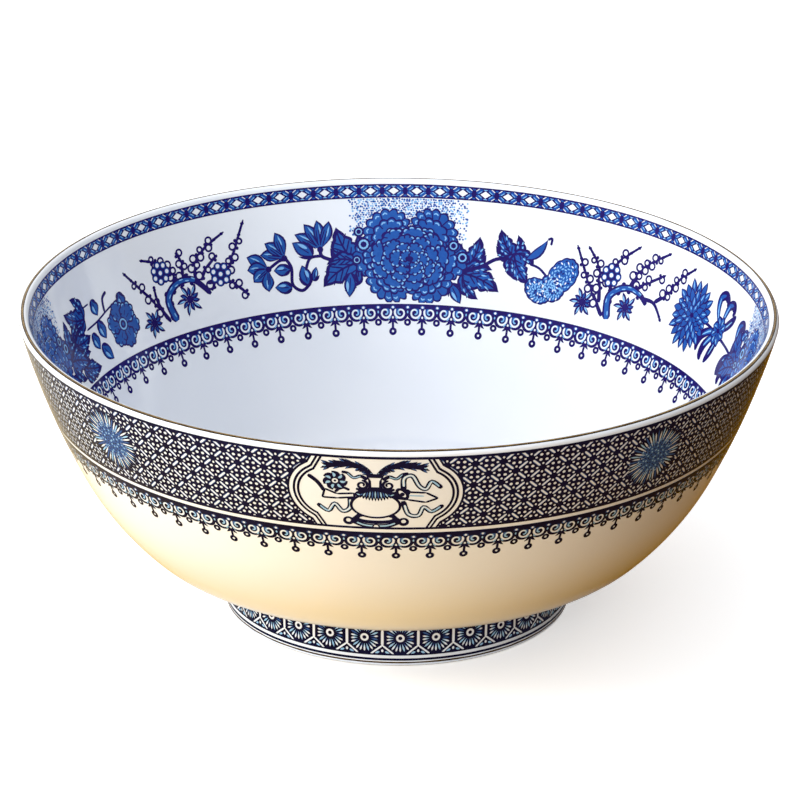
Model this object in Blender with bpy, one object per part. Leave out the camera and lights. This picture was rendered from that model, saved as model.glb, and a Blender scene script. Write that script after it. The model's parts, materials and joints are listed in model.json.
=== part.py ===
"""Porcelain serving bowl: a turned wall on a foot ring, with gilded edges and printed bands.

Every piece is a solid of revolution about the vertical axis. The outer face of the wall is
three arcs, each tangent to the next. The inner face and the printed bands are those same arcs
moved along their normals, so all of them stay parallel. "Lean" is the angle between a face
and the vertical, and "depth" is how far a face lies inside the wall's outer face.
"""

import math

import bpy

# Overall size, in metres.
RIM_RADIUS = 0.127
HEIGHT = 0.1066
SEGMENTS = 64

# Wall. The arcs run from the lip down to the foot: (radius, turn).
WALL_THICKNESS = 0.0032
LIP_LEAN = math.radians(15.3)
UPPER_ARC = (0.276, math.radians(10.7))
LOWER_ARC = (0.0963, math.radians(19.7))
HAUNCH_ARC = (0.030, math.radians(34.3))
FLOOR_ARC_RADIUS = 0.200
LARGEST_LEAN_STEP = math.radians(6.5)
CROWN_STEPS = 6
FLOOR_STEPS = 2

# Foot ring.
FOOT_TOP_RADIUS = 0.0592
FOOT_BOTTOM_RADIUS = 0.0587
FOOT_INNER_TOP_RADIUS = 0.0505
FOOT_INNER_BOTTOM_RADIUS = 0.0530
FOOT_EDGE_BEVEL = 0.0006
FOOT_JOINT_GAP = 0.0003

# Fired-on films: the gold and the printed bands stand this far off the glaze.
FILM_GAP = 0.00005
FILM_THICKNESS = 0.0002
GILDING_SPREAD = math.radians(48)

# Printed bands, as (top height, bottom height).
INNER_LATTICE = (0.1047, 0.1000)
INNER_FRIEZE = (0.0995, 0.0660)
INNER_SCROLLS = (0.0640, 0.0536)
OUTER_DIAPER = (0.1040, 0.0760)
OUTER_SCROLLS = (0.0750, 0.0648)
FOOT_HONEYCOMB = (0.0168, 0.0021)
FOOT_GOLD_LINE = (0.0013, 0.0007)

# Finishes: (colour, roughness, metallic).
PORCELAIN = ((0.86, 0.87, 0.90), 0.12, 0.0)
GOLD = ((0.76, 0.60, 0.31), 0.25, 1.0)
INNER_COBALT = ((0.07, 0.13, 0.42), 0.18, 0.0)
OUTER_COBALT = ((0.02, 0.03, 0.12), 0.18, 0.0)


def outward(lean):
    """Unit normal (radial, vertical) of the outer face where it has this lean."""
    return math.cos(lean), -math.sin(lean)


def moved(point, direction, distance):
    return point[0] + direction[0] * distance, point[1] + direction[1] * distance


def lip_start():
    """Top of the wall's outer face, set so that the lip and its gilding meet the overall size."""
    crown = WALL_THICKNESS / 2
    film = FILM_GAP + FILM_THICKNESS
    radius = RIM_RADIUS - crown * (1 - math.cos(LIP_LEAN))
    height = HEIGHT - film - crown * (1 + math.sin(LIP_LEAN))
    return radius, height


def wall_arcs():
    """The outer face as a list of (centre, radius, first lean, last lean)."""
    arcs = []
    point = lip_start()
    lean = LIP_LEAN
    for radius, turn in (UPPER_ARC, LOWER_ARC, HAUNCH_ARC):
        centre = moved(point, outward(lean), -radius)
        arcs.append((centre, radius, lean, lean + turn))
        lean += turn
        point = moved(centre, outward(lean), radius)
    return arcs


ARCS = wall_arcs()
HAUNCH_LEAN = ARCS[-1][3]


def wall_point(lean, depth):
    """Point (radius, height) of the face that lies at this depth, where it has this lean."""
    for centre, radius, _, last in ARCS:
        if lean <= last:
            break
    return moved(centre, outward(lean), radius - depth)


def lean_at(height, depth):
    """Lean of the face at this depth where it passes through this height."""
    for centre, radius, first, last in ARCS:
        if wall_point(last, depth)[1] <= height:
            break
    return math.asin((centre[1] - height) / (radius - depth))


def stations(bands, depth):
    """Leans at which a face has a vertex: arc ends, band edges and even steps between them."""
    fixed = {LIP_LEAN} | {last for _, _, _, last in ARCS}
    fixed |= {lean_at(height, depth) for band in bands for height in band}
    fixed = sorted(fixed)
    leans = [fixed[0]]
    for start, end in zip(fixed, fixed[1:]):
        steps = math.ceil((end - start) / LARGEST_LEAN_STEP)
        leans += [start + (end - start) * i / steps for i in range(1, steps + 1)]
    return leans


OUTER_STATIONS = stations((OUTER_DIAPER, OUTER_SCROLLS), 0.0)
INNER_STATIONS = stations((INNER_LATTICE, INNER_FRIEZE, INNER_SCROLLS), WALL_THICKNESS)


def crown_point(angle, radius):
    """Point on a round lip: angle 0 is straight up the wall and a right angle is outside it."""
    centre = wall_point(LIP_LEAN, WALL_THICKNESS / 2)
    up_wall = (math.sin(LIP_LEAN), math.cos(LIP_LEAN))
    point = moved(centre, outward(LIP_LEAN), radius * math.sin(angle))
    return moved(point, up_wall, radius * math.cos(angle))


def crown_arc(spread, radius):
    """Points over the lip from the inside to the outside."""
    angles = [spread * (2 * i / CROWN_STEPS - 1) for i in range(CROWN_STEPS + 1)]
    return [crown_point(angle, radius) for angle in angles]


def base_height():
    """Height of the flat underside, where the wall's lower cone reaches the foot ring."""
    radius, height = wall_point(HAUNCH_LEAN, 0.0)
    return height - (radius - FOOT_TOP_RADIUS) / math.tan(HAUNCH_LEAN)


def floor_points():
    """Inner floor from the axis to the start of the inner haunch."""
    edge = wall_point(HAUNCH_LEAN, WALL_THICKNESS)
    centre = moved(edge, outward(HAUNCH_LEAN), -FLOOR_ARC_RADIUS)
    level = math.pi / 2
    leans = [level + (HAUNCH_LEAN - level) * i / FLOOR_STEPS for i in range(FLOOR_STEPS)]
    curve = [moved(centre, outward(lean), FLOOR_ARC_RADIUS) for lean in leans]
    return [(0.0, curve[0][1])] + curve


def wall_outline():
    inner = [wall_point(lean, WALL_THICKNESS) for lean in reversed(INNER_STATIONS)]
    crown = crown_arc(math.pi / 2, WALL_THICKNESS / 2)
    outer = [wall_point(lean, 0.0) for lean in OUTER_STATIONS]
    base = base_height()
    return floor_points() + inner + crown[1:-1] + outer + [(FOOT_TOP_RADIUS, base), (0.0, base)]


def foot_outline():
    top = base_height() - FOOT_JOINT_GAP
    bevel = FOOT_EDGE_BEVEL
    return [
        (FOOT_TOP_RADIUS, top),
        (FOOT_BOTTOM_RADIUS, bevel),
        (FOOT_BOTTOM_RADIUS - bevel, 0.0),
        (FOOT_INNER_BOTTOM_RADIUS + bevel, 0.0),
        (FOOT_INNER_BOTTOM_RADIUS, bevel),
        (FOOT_INNER_TOP_RADIUS, top),
    ]


def foot_radius(height):
    """Outer radius of the foot ring, which flares slightly towards its top."""
    top = base_height() - FOOT_JOINT_GAP
    share = (height - FOOT_EDGE_BEVEL) / (top - FOOT_EDGE_BEVEL)
    return FOOT_BOTTOM_RADIUS + (FOOT_TOP_RADIUS - FOOT_BOTTOM_RADIUS) * share


def lip_gilding_outline():
    inside = WALL_THICKNESS / 2 + FILM_GAP
    over = crown_arc(GILDING_SPREAD, inside + FILM_THICKNESS)
    under = crown_arc(GILDING_SPREAD, inside)
    return over + under[::-1]


def wall_film_outline(band, leans, face_depth, away):
    """Thin band on a wall face. away is -1 outside the bowl and +1 inside it."""
    top, bottom = (lean_at(height, face_depth) for height in band)
    inside = [lean for lean in leans if top - 1e-9 <= lean <= bottom + 1e-9]
    near = [wall_point(lean, face_depth + away * FILM_GAP) for lean in inside]
    far = [wall_point(lean, face_depth + away * (FILM_GAP + FILM_THICKNESS)) for lean in inside]
    return far + near[::-1] if away < 0 else near + far[::-1]


def foot_film_outline(band):
    top, bottom = band
    near = FILM_GAP
    far = FILM_GAP + FILM_THICKNESS
    return [
        (foot_radius(top) + far, top),
        (foot_radius(bottom) + far, bottom),
        (foot_radius(bottom) + near, bottom),
        (foot_radius(top) + near, top),
    ]


def finish(name, values):
    """A Principled material of this colour, roughness and metallic value."""
    colour, roughness, metallic = values
    material = bpy.data.materials.new(name)
    material.use_nodes = True
    shader = material.node_tree.nodes["Principled BSDF"]
    shader.inputs["Base Color"].default_value = (*colour, 1.0)
    shader.inputs["Roughness"].default_value = roughness
    shader.inputs["Metallic"].default_value = metallic
    material.diffuse_color = (*colour, 1.0)
    return material


def turned(name, outline, values, closed=True):
    """Turns an outline about the vertical axis. The outline runs down its outer side."""
    count = len(outline)
    edges = [(i, i + 1) for i in range(count - 1)]
    if closed:
        edges.append((count - 1, 0))
    mesh = bpy.data.meshes.new(name)
    mesh.from_pydata([(radius, 0.0, height) for radius, height in outline], edges, [])
    mesh.materials.append(finish(name, values))
    piece = bpy.data.objects.new(name, mesh)
    bpy.context.scene.collection.objects.link(piece)
    screw = piece.modifiers.new("Turn", "SCREW")
    screw.axis = "Z"
    screw.angle = 2 * math.pi
    screw.steps = SEGMENTS
    screw.render_steps = SEGMENTS
    screw.use_smooth_shade = True
    screw.use_merge_vertices = True
    screw.merge_threshold = 1e-6
    return piece


def build_body():
    turned("bowl_wall", wall_outline(), PORCELAIN, closed=False)
    turned("foot_ring", foot_outline(), PORCELAIN)


def build_gilding():
    turned("rim_gilding", lip_gilding_outline(), GOLD)
    turned("foot_gilding", foot_film_outline(FOOT_GOLD_LINE), GOLD)


def build_inner_prints():
    bands = {
        "inner_lattice_border": INNER_LATTICE,
        "inner_floral_frieze": INNER_FRIEZE,
        "inner_scroll_border": INNER_SCROLLS,
    }
    for name, band in bands.items():
        outline = wall_film_outline(band, INNER_STATIONS, WALL_THICKNESS, 1)
        turned(name, outline, INNER_COBALT)


def build_outer_prints():
    bands = {"outer_diaper_band": OUTER_DIAPER, "outer_scroll_border": OUTER_SCROLLS}
    for name, band in bands.items():
        outline = wall_film_outline(band, OUTER_STATIONS, 0.0, -1)
        turned(name, outline, OUTER_COBALT)
    turned("foot_honeycomb_band", foot_film_outline(FOOT_HONEYCOMB), OUTER_COBALT)


def main():
    for old in list(bpy.data.objects):
        bpy.data.objects.remove(old)
    build_body()
    build_gilding()
    build_inner_prints()
    build_outer_prints()


main()
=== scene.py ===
"""Looks of the porcelain serving bowl: glazed body, gilding and printed cobalt decoration.

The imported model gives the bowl's size and the height of every printed band. Each print is a thin
sheet of ink laid just above the glaze. It is drawn flat, in millimetres, and then wrapped onto
its wall: x runs round the bowl, s runs down the wall from the lip, and shapes drawn later lie on
top. A shape with no ink leaves the glaze bare.
"""

import json
import math
import random

import bmesh
import bpy
import numpy as np
from mathutils import Matrix, Vector, noise
from mathutils.geometry import delaunay_2d_cdt

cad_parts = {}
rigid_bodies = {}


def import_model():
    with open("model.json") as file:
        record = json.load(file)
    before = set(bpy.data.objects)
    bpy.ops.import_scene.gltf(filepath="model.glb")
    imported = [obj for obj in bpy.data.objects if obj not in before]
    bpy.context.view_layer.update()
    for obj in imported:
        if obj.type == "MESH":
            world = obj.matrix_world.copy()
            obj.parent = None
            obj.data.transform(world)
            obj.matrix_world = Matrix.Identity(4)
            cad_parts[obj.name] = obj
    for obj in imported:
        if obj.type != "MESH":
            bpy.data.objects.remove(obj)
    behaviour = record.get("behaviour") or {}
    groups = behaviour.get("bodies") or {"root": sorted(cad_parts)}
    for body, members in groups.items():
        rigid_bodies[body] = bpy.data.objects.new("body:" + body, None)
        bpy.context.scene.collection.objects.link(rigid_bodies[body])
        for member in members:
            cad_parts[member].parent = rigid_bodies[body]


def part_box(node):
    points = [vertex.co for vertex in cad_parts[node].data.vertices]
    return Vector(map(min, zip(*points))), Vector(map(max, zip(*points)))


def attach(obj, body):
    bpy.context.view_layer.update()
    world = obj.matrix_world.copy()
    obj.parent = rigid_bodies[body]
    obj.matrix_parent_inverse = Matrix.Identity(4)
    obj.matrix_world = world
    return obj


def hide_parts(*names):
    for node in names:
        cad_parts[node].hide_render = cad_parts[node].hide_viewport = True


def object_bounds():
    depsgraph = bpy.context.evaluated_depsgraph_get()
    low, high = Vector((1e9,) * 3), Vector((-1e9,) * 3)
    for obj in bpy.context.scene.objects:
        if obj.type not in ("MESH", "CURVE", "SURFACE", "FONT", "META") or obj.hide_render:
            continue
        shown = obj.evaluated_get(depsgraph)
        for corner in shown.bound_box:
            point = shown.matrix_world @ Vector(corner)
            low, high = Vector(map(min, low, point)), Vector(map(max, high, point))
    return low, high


for old in list(bpy.data.objects):
    bpy.data.objects.remove(old)
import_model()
CAD_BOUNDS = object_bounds()

MM = 0.001
FULL_TURN = 2 * math.pi

# The wall: its outer face is three tangent arcs from the lip to the foot, as (radius, turn).
# "Lean" is the angle between a face and the vertical; "depth" is how far a face lies inside
# the outer face.
RIM_RADIUS = 0.127
HEIGHT = CAD_BOUNDS[1][2]
WALL_THICKNESS = 0.0032
CAD_FILM = 0.00025
LIP_LEAN = math.radians(15.3)
WALL_ARCS = (
    (0.276, math.radians(10.7)),
    (0.0963, math.radians(19.7)),
    (0.030, math.radians(34.3)),
)
FLOOR_ARC_RADIUS = 0.200
PROFILE_STEP = 0.0012
CROWN_STEPS = 16

# The foot ring, read off its CAD solid, and the soft edges that the solid leaves out.
FOOT_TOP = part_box("foot_ring")[1][2]
FOOT_TOP_RADIUS = 0.0592
FOOT_BOTTOM_RADIUS = 0.0587
FOOT_INNER_TOP_RADIUS = 0.0505
FOOT_INNER_BOTTOM_RADIUS = 0.0530
FOOT_EDGE_ROUND = 0.0012
FOOT_OVERLAP = 0.0001
SLIP_FILLET = 0.0011

# How fine the surfaces are, and how far ink and gold stand above the glaze.
SEGMENTS = 288
FLOOR_STEPS = 40
BASE_STEPS = 12
FOOT_STEPS = 10
CORNER_STEPS = 6
WELD = 1e-6
INK_LIFT = 0.00006
INK_GRID = 3.0
GOLD_LIFT = 0.00010


def srgb(red, green, blue):
    """Linear colour of an sRGB colour given in 0 to 255."""
    return tuple(((c / 255 + 0.055) / 1.055) ** 2.4 for c in (red, green, blue))


# --- Wall geometry -------------------------------------------------------------------------


def outward(lean):
    return math.cos(lean), -math.sin(lean)


def moved(point, direction, distance):
    return point[0] + direction[0] * distance, point[1] + direction[1] * distance


def wall_arcs():
    """The outer face as a list of (centre, radius, first lean, last lean)."""
    crown = WALL_THICKNESS / 2
    point = (
        RIM_RADIUS - crown * (1 - math.cos(LIP_LEAN)),
        HEIGHT - CAD_FILM - crown * (1 + math.sin(LIP_LEAN)),
    )
    arcs = []
    lean = LIP_LEAN
    for radius, turn in WALL_ARCS:
        centre = moved(point, outward(lean), -radius)
        arcs.append((centre, radius, lean, lean + turn))
        lean += turn
        point = moved(centre, outward(lean), radius)
    return arcs


ARCS = wall_arcs()
HAUNCH_LEAN = ARCS[-1][3]


def on_wall(s, depth):
    """Radius, height and lean of the face at this depth, s metres down it from the lip."""
    s = np.asarray(s, dtype=float)
    radius = np.zeros_like(s)
    height = np.zeros_like(s)
    lean = np.zeros_like(s)
    start = -1.0
    travelled = 0.0
    for centre, arc_radius, first, last in ARCS:
        reach = arc_radius - depth
        here = s >= start
        angle = first + (s - travelled) / reach
        radius = np.where(here, centre[0] + reach * np.cos(angle), radius)
        height = np.where(here, centre[1] - reach * np.sin(angle), height)
        lean = np.where(here, angle, lean)
        travelled += reach * (last - first)
        start = travelled
    return radius, height, lean


def wall_length(depth):
    return sum((radius - depth) * (last - first) for _, radius, first, last in ARCS)


def depth_of_height(height, depth):
    """How far down the face at this depth a height is, in metres along the wall."""
    s = np.linspace(0.0, wall_length(depth), 4000)
    heights = on_wall(s, depth)[1]
    return float(np.interp(-height, -heights, s))


def base_height():
    radius, height, _ = on_wall(wall_length(0.0), 0.0)
    return float(height - (radius - FOOT_TOP_RADIUS) / math.tan(HAUNCH_LEAN))


def crown_point(angle, radius):
    """Point on the round lip: angle 0 is straight up the wall and a right angle is outside it."""
    start = on_wall(0.0, WALL_THICKNESS / 2)
    up_wall = (math.sin(LIP_LEAN), math.cos(LIP_LEAN))
    point = moved((float(start[0]), float(start[1])), outward(LIP_LEAN), radius * math.sin(angle))
    return moved(point, up_wall, radius * math.cos(angle))


# --- Materials -----------------------------------------------------------------------------


NOISE_MIDDLE = (0.3, 0.7)


class Nodes:
    """The node tree of a material or world, with short calls for the nodes they share."""

    def __init__(self, owner, coordinates="Object"):
        owner.use_nodes = True
        self.owner = owner
        self.tree = owner.node_tree
        self.shader = self.tree.nodes.get("Principled BSDF")
        self.place = self.tree.nodes.new("ShaderNodeTexCoord").outputs[coordinates]

    def link(self, output, target):
        self.tree.links.new(output, target)

    def noise(self, scale, detail=3.0):
        texture = self.tree.nodes.new("ShaderNodeTexNoise")
        texture.inputs["Scale"].default_value = scale
        texture.inputs["Detail"].default_value = detail
        self.link(self.place, texture.inputs["Vector"])
        return texture.outputs["Fac"]

    def mapped(self, value, low, high, to_low=0.0, to_high=1.0):
        """The value with low to high mapped onto to_low to to_high, and held within them."""
        node = self.tree.nodes.new("ShaderNodeMapRange")
        node.inputs["From Min"].default_value = low
        node.inputs["From Max"].default_value = high
        node.inputs["To Min"].default_value = to_low
        node.inputs["To Max"].default_value = to_high
        self.link(value, node.inputs["Value"])
        return node.outputs["Result"]

    def spread(self, factor, low, high):
        """Maps the middle of a noise onto low to high."""
        return self.mapped(factor, *NOISE_MIDDLE, low, high)

    def coordinate(self, axis):
        split = self.tree.nodes.new("ShaderNodeSeparateXYZ")
        self.link(self.place, split.inputs[0])
        return split.outputs[axis]

    def along(self, axis, start, end):
        """0 to 1 between two places on an axis."""
        return self.mapped(self.coordinate(axis), start, end)

    def away(self, start, end):
        """0 to 1 between two distances from the middle."""
        length = self.tree.nodes.new("ShaderNodeVectorMath")
        length.operation = "LENGTH"
        self.link(self.place, length.inputs[0])
        return self.mapped(length.outputs["Value"], start, end)

    def ramp(self, factor, stops):
        """Colour ramp through (position, colour) stops."""
        ramp = self.tree.nodes.new("ShaderNodeValToRGB")
        elements = ramp.color_ramp.elements
        while len(elements) < len(stops):
            elements.new(0.5)
        for element, (position, colour) in zip(elements, stops):
            element.position = position
            element.color = (*colour, 1.0)
        self.link(factor, ramp.inputs["Fac"])
        return ramp.outputs["Color"]

    def mix(self, factor, first, second):
        mixer = self.tree.nodes.new("ShaderNodeMix")
        mixer.data_type = "RGBA"
        self.link(factor, mixer.inputs["Factor"])
        for socket, value in (("A", first), ("B", second)):
            target = next(i for i in mixer.inputs if i.name == socket and i.type == "RGBA")
            if isinstance(value, tuple):
                target.default_value = (*value, 1.0)
            else:
                self.link(value, target)
        return next(o for o in mixer.outputs if o.type == "RGBA")

    def above(self, axis, level, blend):
        """0 below a level along an axis and 1 above it, over a short blend with a wavy edge."""
        wave = self.tree.nodes.new("ShaderNodeMath")
        wave.operation = "MULTIPLY_ADD"
        wave.inputs[1].default_value = blend
        self.link(self.noise(90.0, 2.0), wave.inputs[0])
        self.link(self.coordinate(axis), wave.inputs[2])
        return self.mapped(wave.outputs[0], level, level + blend / 2)

    def glaze_surface(self):
        """The clear glaze over body and ink alike: glossy, with the faintest orange peel."""
        self.link(self.spread(self.noise(35.0), 0.05, 0.11), self.shader.inputs["Roughness"])
        self.shader.inputs["IOR"].default_value = GLAZE_IOR
        bump = self.tree.nodes.new("ShaderNodeBump")
        bump.inputs["Strength"].default_value = 0.05
        bump.inputs["Distance"].default_value = 0.0006
        self.link(self.noise(55.0, 2.0), bump.inputs["Height"])
        self.link(bump.outputs["Normal"], self.shader.inputs["Normal"])


WHITE_WARE = srgb(244, 246, 249)
WHITE_WARE_SHADE = srgb(234, 238, 244)
BISCUIT = srgb(222, 211, 192)
BISCUIT_DARK = srgb(188, 172, 148)
BISCUIT_HEIGHT = 0.0006
BISCUIT_BLEND = 0.0004
BISCUIT_ROUGHNESS = 0.7
GLAZE_ROUGHNESS = 0.08
GLAZE_IOR = 1.52
BLACK, WHITE = (0.0, 0.0, 0.0), (1.0, 1.0, 1.0)
GOLD_BRIGHT = srgb(176, 144, 88)
GOLD_DULL = srgb(104, 78, 44)
# Painted shade: the dark brown that the gold paints along the edges of each line.
GOLD_PAINTED_SHADE = srgb(44, 30, 22)


def porcelain():
    """White ware under clear glaze, with a bare biscuit edge where the foot rests."""
    nodes = Nodes(bpy.data.materials.new("porcelain"))
    cloudy = nodes.mix(nodes.spread(nodes.noise(9.0), 0.0, 1.0), WHITE_WARE, WHITE_WARE_SHADE)
    grain = nodes.mix(nodes.noise(900.0, 4.0), BISCUIT, BISCUIT_DARK)
    glazed = nodes.above("Z", BISCUIT_HEIGHT, BISCUIT_BLEND)
    nodes.link(nodes.mix(glazed, grain, cloudy), nodes.shader.inputs["Base Color"])
    nodes.glaze_surface()
    gloss = nodes.mapped(glazed, 0.0, 1.0, BISCUIT_ROUGHNESS, GLAZE_ROUGHNESS)
    nodes.link(gloss, nodes.shader.inputs["Roughness"])
    return nodes.owner


def cobalt(name, strong, weak, sheen):
    """Printed ink under the glaze, pooling darker and thinning out at two scales."""
    nodes = Nodes(bpy.data.materials.new(name))
    broad = nodes.mix(nodes.spread(nodes.noise(28.0), 0.0, 1.0), strong, weak)
    fine = nodes.spread(nodes.noise(900.0, 2.0), 0.0, 0.5)
    nodes.link(nodes.mix(fine, broad, strong), nodes.shader.inputs["Base Color"])
    nodes.glaze_surface()
    nodes.shader.inputs["Specular IOR Level"].default_value = sheen
    return nodes.owner


INNER_SHEEN = 0.1
OUTER_SHEEN = 0.05


def gold():
    """Burnished gold: a painted highlight along the line's top, painted brown shade at its edges."""
    nodes = Nodes(bpy.data.materials.new("gold"))
    shine = nodes.mix(nodes.spread(nodes.noise(160.0, 4.0), 0.0, 1.0), GOLD_BRIGHT, GOLD_DULL)
    across = nodes.tree.nodes.new("ShaderNodeAttribute")
    across.attribute_name = "across"
    # Painted light: across each line, a painted highlight along its top and painted shade at its edges.
    stops = ((0.07, BLACK), (0.15, WHITE), (0.29, WHITE), (0.36, BLACK))
    core = nodes.ramp(across.outputs["Fac"], stops)
    nodes.link(nodes.mix(core, GOLD_PAINTED_SHADE, shine), nodes.shader.inputs["Base Color"])
    nodes.shader.inputs["Metallic"].default_value = 1.0
    nodes.link(nodes.spread(nodes.noise(400.0, 4.0), 0.18, 0.38), nodes.shader.inputs["Roughness"])
    return nodes.owner


PORCELAIN = porcelain()
GOLD = gold()
INNER_INKS = {
    "deep": cobalt("inner_deep", srgb(28, 14, 84), srgb(40, 30, 110), INNER_SHEEN),
    "mid": cobalt("inner_mid", srgb(26, 72, 152), srgb(46, 98, 176), INNER_SHEEN),
    "light": cobalt("inner_light", srgb(112, 170, 222), srgb(146, 196, 236), INNER_SHEEN),
}
OUTER_INKS = {
    "deep": cobalt("outer_deep", srgb(12, 9, 34), srgb(22, 22, 60), OUTER_SHEEN),
    "mid": cobalt("outer_mid", srgb(46, 76, 130), srgb(70, 104, 156), OUTER_SHEEN),
    "light": cobalt("outer_light", srgb(140, 184, 218), srgb(172, 206, 230), OUTER_SHEEN),
}


# --- Turned bodies -------------------------------------------------------------------------


def own(piece, slot, *nodes):
    """Attaches a piece to the bowl and hides the CAD nodes it stands for."""
    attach(piece, "root")
    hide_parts(*nodes)


def in_scene(name, data):
    thing = bpy.data.objects.new(name, data)
    bpy.context.scene.collection.objects.link(thing)
    return thing


def smooth_body(name, mesh, material):
    """Turns a finished bmesh into an object with smooth faces that point outwards."""
    bmesh.ops.recalc_face_normals(mesh, faces=mesh.faces)
    for face in mesh.faces:
        face.smooth = True
    data = bpy.data.meshes.new(name)
    mesh.to_mesh(data)
    mesh.free()
    data.materials.append(material)
    return in_scene(name, data)


def turned(name, outline, material, closed=False):
    """Turns an outline of (radius, height) points about the vertical axis."""
    mesh = bmesh.new()
    corners = [mesh.verts.new((radius, 0.0, height)) for radius, height in outline]
    pairs = list(zip(corners, corners[1:]))
    if closed:
        pairs.append((corners[-1], corners[0]))
    edges = [mesh.edges.new(pair) for pair in pairs]
    bmesh.ops.spin(
        mesh, geom=corners + edges, axis=(0, 0, 1), cent=(0, 0, 0), angle=FULL_TURN, steps=SEGMENTS
    )
    bmesh.ops.remove_doubles(mesh, verts=mesh.verts, dist=WELD)
    return smooth_body(name, mesh, material)


def arc_points(centre, radius, start, end, steps):
    """Points along an arc, its angles in degrees from the outward direction."""
    angles = [math.radians(start + (end - start) * i / steps) for i in range(steps + 1)]
    return [(centre[0] + radius * math.cos(a), centre[1] + radius * math.sin(a)) for a in angles]


def face_points(distances, depth):
    """Points on the face at this depth, at these distances down it from the lip."""
    radii, heights, _ = on_wall(distances, depth)
    return list(zip(radii.tolist(), heights.tolist()))


def wall_outline():
    """The wall from the middle of the inner floor, over the lip, to the middle of the base."""
    inner = wall_length(WALL_THICKNESS)
    outer = wall_length(0.0)
    edge = on_wall(inner, WALL_THICKNESS)
    centre = moved((float(edge[0]), float(edge[1])), outward(HAUNCH_LEAN), -FLOOR_ARC_RADIUS)
    quarter = math.pi / 2
    turn = quarter - HAUNCH_LEAN
    leans = [quarter - turn * i / FLOOR_STEPS for i in range(FLOOR_STEPS)]
    outline = [moved(centre, outward(lean), FLOOR_ARC_RADIUS) for lean in leans]
    outline[0] = (0.0, outline[0][1])
    outline += face_points(np.linspace(inner, 0.0, round(inner / PROFILE_STEP)), WALL_THICKNESS)
    for i in range(1, CROWN_STEPS):
        outline.append(crown_point(quarter * (2 * i / CROWN_STEPS - 1), WALL_THICKNESS / 2))
    outline += face_points(np.linspace(0.0, outer, round(outer / PROFILE_STEP)), 0.0)
    base = base_height()
    edge_radius = FOOT_TOP_RADIUS - MM
    shares = [i / BASE_STEPS for i in range(1, BASE_STEPS + 1)]
    outline += [(edge_radius - share * edge_radius, base) for share in shares]
    return outline


def foot_outline():
    """The foot ring with a slip fillet at its top and rounded resting edges."""
    top = base_height() + FOOT_OVERLAP
    edge = FOOT_EDGE_ROUND
    fillet = SLIP_FILLET
    centre = (FOOT_TOP_RADIUS + fillet, top - fillet)
    outline = arc_points(centre, fillet, 90, 180, CORNER_STEPS)
    for i in range(1, FOOT_STEPS):
        radius = FOOT_TOP_RADIUS + (FOOT_BOTTOM_RADIUS - FOOT_TOP_RADIUS) * i / FOOT_STEPS
        outline.append((radius, top - fillet - (top - fillet - edge) * i / FOOT_STEPS))
    outline += arc_points((FOOT_BOTTOM_RADIUS - edge, edge), edge, 0, -90, CORNER_STEPS)
    outline += arc_points((FOOT_INNER_BOTTOM_RADIUS + edge, edge), edge, -90, -180, CORNER_STEPS)
    outline += [(FOOT_INNER_TOP_RADIUS, top - 2 * fillet)]
    centre = (FOOT_INNER_TOP_RADIUS - 2 * fillet, top - 2 * fillet)
    outline += arc_points(centre, 2 * fillet, 0, 90, CORNER_STEPS)
    return outline


def build_body():
    own(turned("glazed_wall", wall_outline(), PORCELAIN), "porcelain", "bowl_wall")
    own(turned("glazed_foot", foot_outline(), PORCELAIN, closed=True), "porcelain", "foot_ring")


def strip(name, rows, columns, place, material):
    """Thin closed band round the bowl: place(row share, angle) gives (radius, height)."""
    mesh = bmesh.new()
    grid = []
    for j in range(columns):
        angle = FULL_TURN * j / columns
        ring = []
        for i in range(rows):
            radius, height = place(i / rows, angle)
            ring.append(mesh.verts.new((radius * math.cos(angle), radius * math.sin(angle), height)))
        grid.append(ring)
    for j, ring in enumerate(grid):
        following = grid[(j + 1) % columns]
        for i in range(rows):
            k = (i + 1) % rows
            mesh.faces.new((ring[i], ring[k], following[k], following[i]))
    piece = smooth_body(name, mesh, material)
    across = piece.data.attributes.new("across", "FLOAT", "POINT")
    across.data.foreach_set("value", [i / rows for _ in range(columns) for i in range(rows)])
    return piece


def wobble(angle, seed, frequency=9.0):
    """Smooth hand-made unevenness round the bowl, between about -1 and 1."""
    return noise.noise(Vector((math.cos(angle) * frequency, math.sin(angle) * frequency, seed)))


LIP_GOLD_SPREAD = math.radians(21)
LIP_GOLD_UNEVENNESS = math.radians(4)


def lip_gold_point(share, angle):
    """Over the lip on the outside of the gold, then back under it just inside the glaze."""
    spread = LIP_GOLD_SPREAD + LIP_GOLD_UNEVENNESS * wobble(angle, 3.0)
    crown = WALL_THICKNESS / 2
    if share < 0.5:
        across = 4 * share - 1
        swell = 1 - across**4
        return crown_point(spread * across, crown + GOLD_LIFT * swell)
    across = 3 - 4 * share
    return crown_point(spread * across, crown - GOLD_LIFT)


FOOT_LINE_LOW, FOOT_LINE_HIGH = (corner[2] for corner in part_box("foot_gilding"))
FOOT_LINE_RISE = 0.0006
FOOT_LINE_WANDER = 0.00006
FOOT_LINE_UNEVENNESS = 0.25


def foot_radius(height):
    share = (height - FOOT_EDGE_ROUND) / (FOOT_TOP - FOOT_EDGE_ROUND)
    return FOOT_BOTTOM_RADIUS + (FOOT_TOP_RADIUS - FOOT_BOTTOM_RADIUS) * share


def foot_gold_point(share, angle):
    """A hand-painted line round the foot, just where its resting edge starts to round."""
    middle = (FOOT_LINE_LOW + FOOT_LINE_HIGH) / 2 + FOOT_LINE_RISE
    middle += FOOT_LINE_WANDER * wobble(angle, 5.0)
    half = (FOOT_LINE_HIGH - FOOT_LINE_LOW) / 2 * (1 + FOOT_LINE_UNEVENNESS * wobble(angle, 8.0))
    turn = FULL_TURN * share
    lift = GOLD_LIFT * math.cos(turn)
    return foot_radius(middle) + lift, middle + half * math.sin(turn)


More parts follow.
